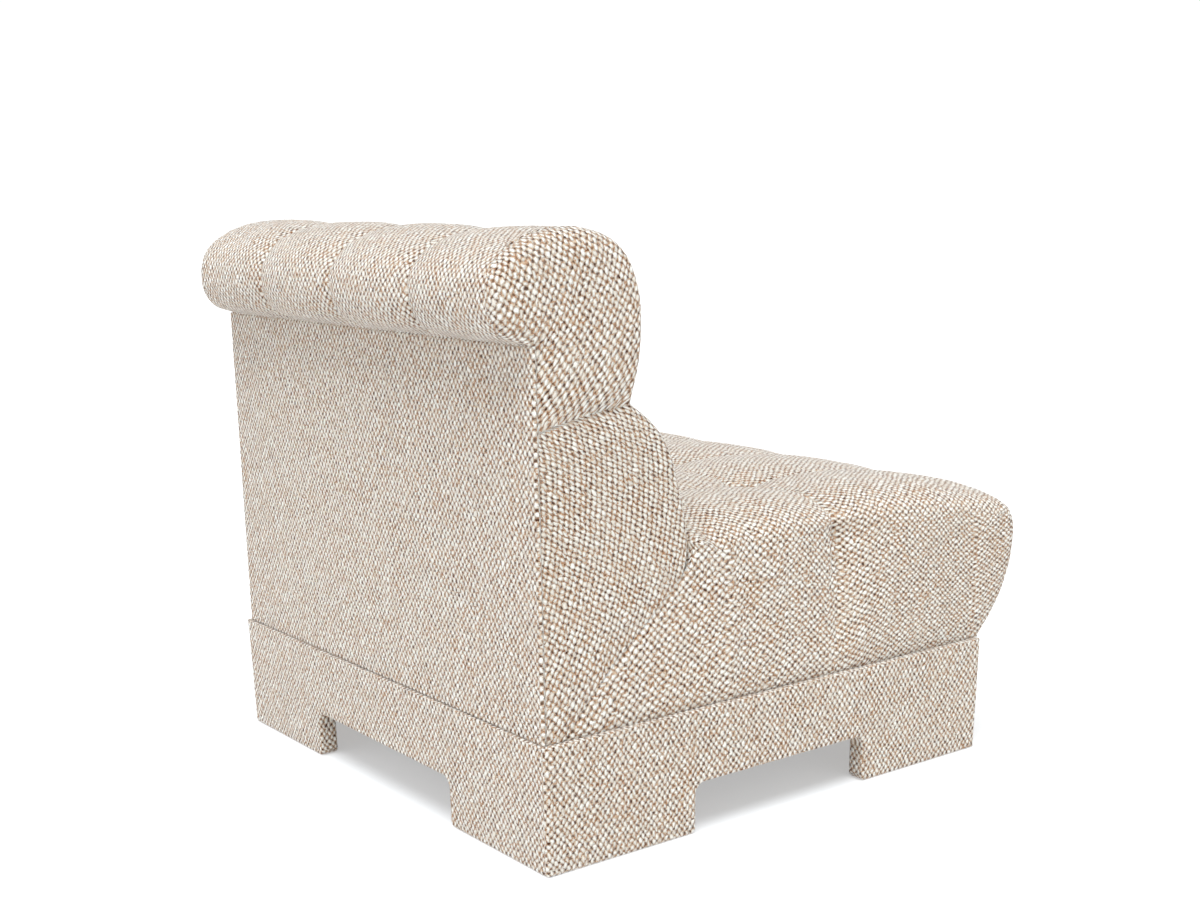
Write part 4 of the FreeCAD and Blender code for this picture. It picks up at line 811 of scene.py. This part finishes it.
def plinth_skirt():
    """Cloth round the plinth's boards: over their top edge, and turned in under them and inside."""
    columns, perimeter = skirt_columns()
    lines = [skirt_line(column) for column in columns]
    points = np.array([line[0] for line in lines], float)
    weave = np.array([line[1] for line in lines], float) * [-1, 1]
    uneven = lumps(points[..., 0], points[..., 1], points[..., 2], seed=51, size=0.5)
    radial = points[..., :2] / np.maximum(np.abs(points[..., :2]).max(-1, keepdims=True), 1)
    outer = np.zeros(points.shape[1])
    outer[1:FACE_ROWS] = 1
    points[..., :2] += radial * (uneven * outer)[..., None]
    points[..., 1] += BACK_MM - PLINTH_MIDDLE
    points = np.concatenate([points, points[:, :1]], 1)
    weave = np.concatenate([weave, weave[:, :1]], 1)
    shell = Shell()
    shell.add(closed(points), np.concatenate([weave, weave[:1] - [perimeter, 0]]))
    return shell.build("plinth_skirt")


class Graph:
    """A node material, written as short calls."""

    def __init__(self, name):
        self.material = bpy.data.materials.new(name)
        self.material.use_nodes = True
        self.tree = self.material.node_tree
        self.shader = self.tree.nodes["Principled BSDF"]

    def node(self, kind, inputs=None, **settings):
        made = self.tree.nodes.new("ShaderNode" + kind)
        for key, value in settings.items():
            setattr(made, key, value)
        for key, value in (inputs or {}).items():
            self.set(made.inputs[key], value)
        return made

    def set(self, socket, value):
        if isinstance(value, bpy.types.NodeSocket):
            self.tree.links.new(value, socket)
        else:
            socket.default_value = value

    def math(self, operation, *values):
        return self.node("Math", dict(enumerate(values)), operation=operation).outputs[0]

    def add(self, a, b):
        return self.math("ADD", a, b)

    def less(self, a, b):
        return self.math("SUBTRACT", a, b)

    def times(self, a, b):
        return self.math("MULTIPLY", a, b)

    def hypot(self, a, b):
        return self.math("SQRT", self.add(self.times(a, a), self.times(b, b)))

    def mix(self, factor, a, b):
        """Mixes two colours. Sockets 0, 6 and 7 are the factor and the colours."""
        made = self.node("Mix", data_type="RGBA")
        for index, value in ((0, factor), (6, a), (7, b)):
            plain = isinstance(value, (float, int, bpy.types.NodeSocket))
            self.set(made.inputs[index], value if plain else (*value, 1))
        return made.outputs[2]

    def ramp(self, value, low, high, to_low=0.0, to_high=1.0, smooth=True):
        made = self.node("MapRange", {0: value, 1: low, 2: high, 3: to_low, 4: to_high})
        made.interpolation_type = "SMOOTHSTEP" if smooth else "LINEAR"
        return made.outputs[0]

    def noise(self, vector, size, detail=2.0, roughness=0.5, color=False):
        """Noise whose features are about `size` metres across."""
        settings = {"Vector": vector, "Scale": 1 / size, "Detail": detail, "Roughness": roughness}
        return self.node("TexNoise", settings).outputs["Color" if color else "Fac"]

    def object_place(self):
        """A point's place in its own piece, in metres."""
        return self.node("TexCoord").outputs["Object"]

    def stretched(self, place, share):
        """The place with features drawn out along x."""
        return self.node("Mapping", {0: place, 3: (share, 1.0, 1.0)}).outputs[0]

    def bands(self, place, scale, distortion, axis):
        settings = {"Vector": place, "Scale": scale, "Distortion": distortion}
        return self.node("TexWave", settings, bands_direction=axis).outputs["Fac"]

    def bump(self, height, distance):
        settings = {"Height": height, "Distance": distance, "Strength": 1.0}
        return self.node("Bump", settings).outputs["Normal"]

    def finish(self, color, roughness, normal=None, **constants):
        self.set(self.shader.inputs["Base Color"], color)
        self.set(self.shader.inputs["Roughness"], roughness)
        if normal is not None:
            self.set(self.shader.inputs["Normal"], normal)
        for key, value in constants.items():
            self.shader.inputs[key.replace("_", " ")].default_value = value
        return self.material


# Colours of the boucle, and the sizes in metres of its fibres, its yarn and its cloudy patches.
CREAM = (0.905, 0.885, 0.82)
# Darker cream: painted shade towards the nubs' outlines, and also the tone of the cloudy patches.
CREAM_SHADE = (0.74, 0.65, 0.54)
NET_PALE = (0.64, 0.48, 0.335)
NET_TAN = (0.385, 0.20, 0.10)
# Dark brown painted as shade in the net's deepest gaps, where four nubs meet.
GAP_SHADE_BROWN = (0.06, 0.018, 0.006)
FIBRE_SIZE = 0.0014
YARN_SIZE = 0.0036
CLOUD_SIZE = 0.05

# Size and reach, in metres, of what moves the nubs: drifts of whole rows, loose rows, and loose loops.
WANDERING = ((0.22, 0.012), (0.036, 0.0045), (0.0085, 0.0058), (0.0030, 0.0036))


def boucle():
    """Cream nubs in a lattice of rhombs, in a thin net of tan yarn, with dark brown painted shade in its
    deepest gaps and painted shade towards each nub's outline.
    """
    g = Graph("boucle")
    place = g.node("UVMap", uv_map="weave").outputs[0]

    def wander(size, reach):
        """A smooth random offset, up to half the reach each way."""
        drift = g.noise(place, size, 1, 0.5, color=True)
        spread = g.node("VectorMath", {0: drift, 1: (0.5, 0.5, 0.5)}, operation="SUBTRACT")
        return g.node("VectorMath", {0: spread.outputs[0], "Scale": reach}, operation="SCALE").outputs[0]

    def chance(a, b):
        """Three random numbers for each cell."""
        cell = g.node("CombineXYZ", {0: g.math("FLOOR", a), 1: g.math("FLOOR", b)})
        noise = g.node("TexWhiteNoise", {"Vector": cell.outputs[0]}, noise_dimensions="2D")
        return g.node("SeparateColor", {0: noise.outputs["Color"]}).outputs

    def from_middle(way):
        """How far a point is from the middle of its cell, in cells."""
        return g.less(g.math("FRACT", way), 0.5)

    # The cell's two ways: along the row and up, and along the row and down.
    moved = place
    for size, reach in WANDERING:
        moved = g.node("VectorMath", {0: moved, 1: wander(size, reach)}, operation="ADD").outputs[0]
    split = g.node("SeparateXYZ", {0: moved})
    across = g.math("DIVIDE", split.outputs[0], NUB * MM)
    up = g.math("DIVIDE", split.outputs[1], 2 * ROW * MM)
    rising, falling = g.add(across, up), g.less(across, up)
    luck = chance(rising, falling)

    # Distance from the nub's middle, where its outline is at about 1. Each nub has a size of its own.
    half_width = g.ramp(luck[0], 0, 1, 1.6, 2.5, False)
    half_height = g.ramp(luck[1], 0, 1, 2.5, 3.8, False)
    rise, fall = from_middle(rising), from_middle(falling)
    beside = g.math("DIVIDE", g.times(g.add(rise, fall), NUB / 2), half_width)
    above = g.math("DIVIDE", g.times(g.less(rise, fall), ROW), half_height)
    far = g.hypot(beside, above)
    fibre = g.noise(place, FIBRE_SIZE, 2, 0.7)
    yarn = g.noise(place, YARN_SIZE, 2, 0.6)
    cloudy = g.noise(place, CLOUD_SIZE, 3, 0.6)
    stray = g.less(fibre, 0.5)
    ragged = g.add(far, g.times(stray, 1.6))
    nub = g.ramp(ragged, 1.35, 0.95)
    dome = g.math("SQRT", g.less(1.0, g.times(g.math("MINIMUM", g.times(far, far), 1.2), 0.8)))

    # The gaps where four nubs meet, some deeper than others: these get dark brown painted shade.
    corner = (g.add(rising, 0.5), g.add(falling, 0.5))
    hole_luck = chance(*corner)
    to_hole = g.add(g.hypot(from_middle(corner[0]), from_middle(corner[1])), g.times(stray, 0.6))
    hole = g.times(g.ramp(to_hole, 0.32, 0.10), g.ramp(hole_luck[0], 0.0, 0.6, 0.15, 1.0, False))

    # Some nubs are darker than others, and each has painted shade towards its outline, where it curves down
    # into the gaps.
    own_shade = g.ramp(luck[2], 0.5, 1.0, 0.0, 0.9, False)
    shade = g.math("MAXIMUM", own_shade, g.ramp(far, 0.5, 1.05, 0.0, 0.8))
    cream = g.mix(g.times(shade, g.ramp(yarn, 0.3, 0.6, 0.4, 1.0)), CREAM, CREAM_SHADE)
    net = g.mix(g.ramp(yarn, 0.42, 0.62), NET_TAN, NET_PALE)
    # Dark brown painted shade in the holes and in the net's deepest gaps.
    gap_shade = g.math("MAXIMUM", hole, g.ramp(ragged, 1.6, 2.1, 0.0, 0.9))
    body = g.mix(gap_shade, g.mix(nub, net, cream), GAP_SHADE_BROWN)
    body = g.mix(g.ramp(cloudy, 0.35, 0.7, 0.0, 0.12), body, CREAM_SHADE)
    height = g.add(g.add(g.times(dome, nub), g.times(fibre, 0.25)), g.times(yarn, 0.3))
    height = g.less(height, g.times(hole, 0.3))
    return g.finish(
        body, 0.95, g.bump(height, 0.003),
        Sheen_Weight=0.7, Sheen_Roughness=0.22, Specular_IOR_Level=0.12,
    )


def wood(name, pale, dark, grain, rough, layers=0):
    """Wood or board with its grain along x. Layers sets how close together plywood's bands are."""
    g = Graph(name)
    place = g.object_place()
    long_grain = g.stretched(place, 0.12)
    wave = g.noise(long_grain, grain, 6, 0.6)
    pores = g.noise(long_grain, grain / 6, 3, 0.7)
    color = g.mix(g.ramp(wave, 0.35, 0.65), pale, dark)
    if layers:
        color = g.mix(g.ramp(g.bands(place, layers, 0.6, "Z"), 0.45, 0.6, 0.0, 0.25), color, dark)
    color = g.mix(g.ramp(pores, 0.55, 0.75, 0.0, 0.35), color, dark)
    return g.finish(color, g.ramp(pores, 0.2, 0.8, rough, rough + 0.15), g.bump(pores, 0.0004))


def cloth(name, light, dark, thread, roughness=0.9, sheen=0.2):
    """Cloth, felt, foam or twine whose threads or pores are about `thread` metres wide."""
    g = Graph(name)
    place = g.object_place()
    warp, weft, rise = (g.bands(place, 0.16 / thread, 0.4, axis) for axis in "XYZ")
    weave = g.times(g.add(g.add(warp, weft), rise), 0.333)
    fibre = g.noise(place, thread / 2, 3, 0.6)
    color = g.mix(g.ramp(weave, 0.25, 0.75), dark, light)
    color = g.mix(g.ramp(fibre, 0.35, 0.7, 0.0, 0.4), color, dark)
    height = g.add(weave, g.times(fibre, 0.5))
    return g.finish(color, roughness, g.bump(height, 0.0004), Sheen_Weight=sheen)


def steel(name, color, rough):
    """Zinc-plated steel: spangles a few millimetres wide, and fine scratches."""
    g = Graph(name)
    place = g.object_place()
    spangle = g.noise(place, 0.0025, 3, 0.6)
    scratch = g.noise(g.stretched(place, 0.15), 0.0006, 2, 0.6)
    tint = g.mix(g.ramp(spangle, 0.3, 0.7), color, tuple(0.72 * c for c in color))
    roughness = g.ramp(scratch, 0.3, 0.7, rough, rough + 0.18)
    return g.finish(tint, roughness, g.bump(scratch, 0.0001), Metallic=1.0)


def plastic(name, color, rough):
    """Moulded plastic with a fine grain and a little dust."""
    g = Graph(name)
    place = g.object_place()
    grain = g.noise(place, 0.0009, 2, 0.6)
    dust = g.noise(place, 0.012, 3, 0.6)
    tint = g.mix(g.ramp(dust, 0.45, 0.75, 0.0, 0.35), color, tuple(0.6 * c + 0.08 for c in color))
    return g.finish(tint, g.ramp(grain, 0.3, 0.7, rough, rough + 0.12), g.bump(grain, 0.0002))


SLOT_FINISH = {
    "boucle_fabric": boucle(),
    "plywood": wood("birch_plywood", (0.62, 0.45, 0.26), (0.42, 0.27, 0.13), 0.012, 0.55, layers=60),
    "hardwood": wood("planed_hardwood", (0.50, 0.33, 0.17), (0.33, 0.20, 0.10), 0.008, 0.5),
    "board": wood("brown_board", (0.27, 0.18, 0.11), (0.18, 0.11, 0.065), 0.003, 0.7),
    "foam": cloth("pale_foam", (0.75, 0.68, 0.48), (0.62, 0.54, 0.36), 0.0015, 0.95, sheen=0.1),
    "webbing": cloth("woven_webbing", (0.26, 0.18, 0.11), (0.12, 0.08, 0.05), 0.0018),
    "felt": cloth("grey_felt", (0.36, 0.34, 0.31), (0.22, 0.21, 0.19), 0.0012),
    "twine": cloth("flax_twine", (0.55, 0.44, 0.28), (0.34, 0.26, 0.15), 0.0008),
    "dust_cloth": cloth("black_dust_cloth", (0.035, 0.035, 0.035), (0.015, 0.015, 0.015), 0.0011),
    "steel": steel("zinc_plated_steel", (0.60, 0.60, 0.61), 0.28),
    "nylon": plastic("dark_nylon", (0.035, 0.03, 0.027), 0.45),
}
node_slot = {part["node"]: part["material_slot"] for part in frame["record"]["subparts"]}
for name, node in frame["nodes"].items():
    node.data.materials.clear()
    node.data.materials.append(SLOT_FINISH[node_slot[name]])

# Every soft piece: how tightly it is filled, and what it replaces.
SOFT = [
    (seat_quilt(), 0.8, "seat_cover", "seat_foam_core", "seat_front_foam"),
    (
        channelled("lumbar_quilt", LUMBAR_FRONT, LUMBAR_REAR, seed=61, shown_count=60, hidden_count=24),
        0.75, "lumbar_cover", "lumbar_foam",
    ),
    (
        channelled("roll_quilt", ROLL_FRONT, ROLL_REAR, seed=67, shown_count=130, hidden_count=30),
        0.8, "roll_cover", "roll_foam",
    ),
    (end_panel("back_left_panel", -1), 0.6, "back_left_cover"),
    (end_panel("back_right_panel", 1), 0.6, "back_right_cover"),
    (outside_back_panel(), 0.3, "outside_back_cover"),
    (plinth_skirt(), 0.2, "plinth_cover"),
]
for piece, fill, *nodes in SOFT:
    piece.data.materials.append(SLOT_FINISH["boucle_fabric"])
    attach(piece, "root")
    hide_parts(*nodes)


def add_camera():
    """The photograph's view, from behind the chair and on the sitter's right."""
    forward = Vector((0.7793, -0.5784, -0.2411)).normalized()
    level = forward.cross(Vector((0, 0, 1))).normalized()
    upright = level.cross(forward)
    roll = -0.0181
    right = level * math.cos(roll) + upright * math.sin(roll)
    up = upright * math.cos(roll) - level * math.sin(roll)
    camera = add_object("camera", bpy.data.cameras.new("camera"))
    camera.matrix_world = Matrix((right, up, -forward)).transposed().to_4x4()
    camera.location = (-1.9463, BACK + 1.0626, 0.8113)
    camera.data.sensor_width = 36
    camera.data.lens = 50.12
    camera.data.shift_y = 0.125
    camera.data.clip_end = 200
    bpy.context.scene.camera = camera


def add_sun(name, source, spread, power, color):
    """Even light from one side of the sky, soft because it comes from a patch `spread` degrees wide."""
    lamp = bpy.data.lights.new(name, "SUN")
    lamp.angle = math.radians(spread)
    lamp.energy = power
    lamp.color = color
    add_object(name, lamp).rotation_euler = Vector(source).to_track_quat("Z", "Y").to_euler()


def add_floor():
    """A wide pale floor that glows a little, so that it runs into the white behind the chair."""
    reach = 60
    corners = [(-reach, -reach, 0), (reach, -reach, 0), (reach, reach, 0), (-reach, reach, 0)]
    mesh = bpy.data.meshes.new("floor")
    mesh.from_pydata(corners, [], [(0, 1, 2, 3)])
    floor = add_object("floor", mesh)
    g = Graph("pale_floor")
    tone = g.noise(g.object_place(), 2.5, 2)
    mesh.materials.append(g.finish(
        g.mix(tone, (0.54, 0.54, 0.54), (0.56, 0.56, 0.56)), 0.8,
        Specular_IOR_Level=0.0, Emission_Color=(1, 1, 1, 1), Emission_Strength=0.42,
    ))


def add_sky():
    """White light from all round: full up to a little over the horizon, and dimmer overhead."""
    low, high, horizon_power, zenith_power = 0.15, 0.6, 1.06, 0.45
    surroundings = bpy.data.worlds.new("studio")
    surroundings.use_nodes = True
    tree = surroundings.node_tree
    way = tree.nodes.new("ShaderNodeSeparateXYZ")
    tree.links.new(tree.nodes.new("ShaderNodeTexCoord").outputs["Generated"], way.inputs[0])
    fall = tree.nodes.new("ShaderNodeMapRange")
    for index, value in enumerate((low, high, horizon_power, zenith_power), 1):
        fall.inputs[index].default_value = value
    tree.links.new(way.outputs["Z"], fall.inputs[0])
    tree.links.new(fall.outputs[0], tree.nodes["Background"].inputs["Strength"])
    tree.nodes["Background"].inputs["Color"].default_value = (0.975, 1.0, 1.02, 1)
    bpy.context.scene.world = surroundings


add_camera()
add_floor()
add_sky()
add_sun("softbox", (-0.2, 0.2, 1.0), spread=40, power=3.6, color=(0.94, 0.985, 1.02))
add_sun("panel_behind", (0.2, 1.0, 0.45), spread=60, power=0.5, color=(0.9, 0.92, 1.0))
add_sun("panel_beside", (-1.0, -0.1, 0.3), spread=50, power=0.32, color=(0.95, 0.98, 1.0))
bpy.context.scene.view_settings.view_transform = "Standard"
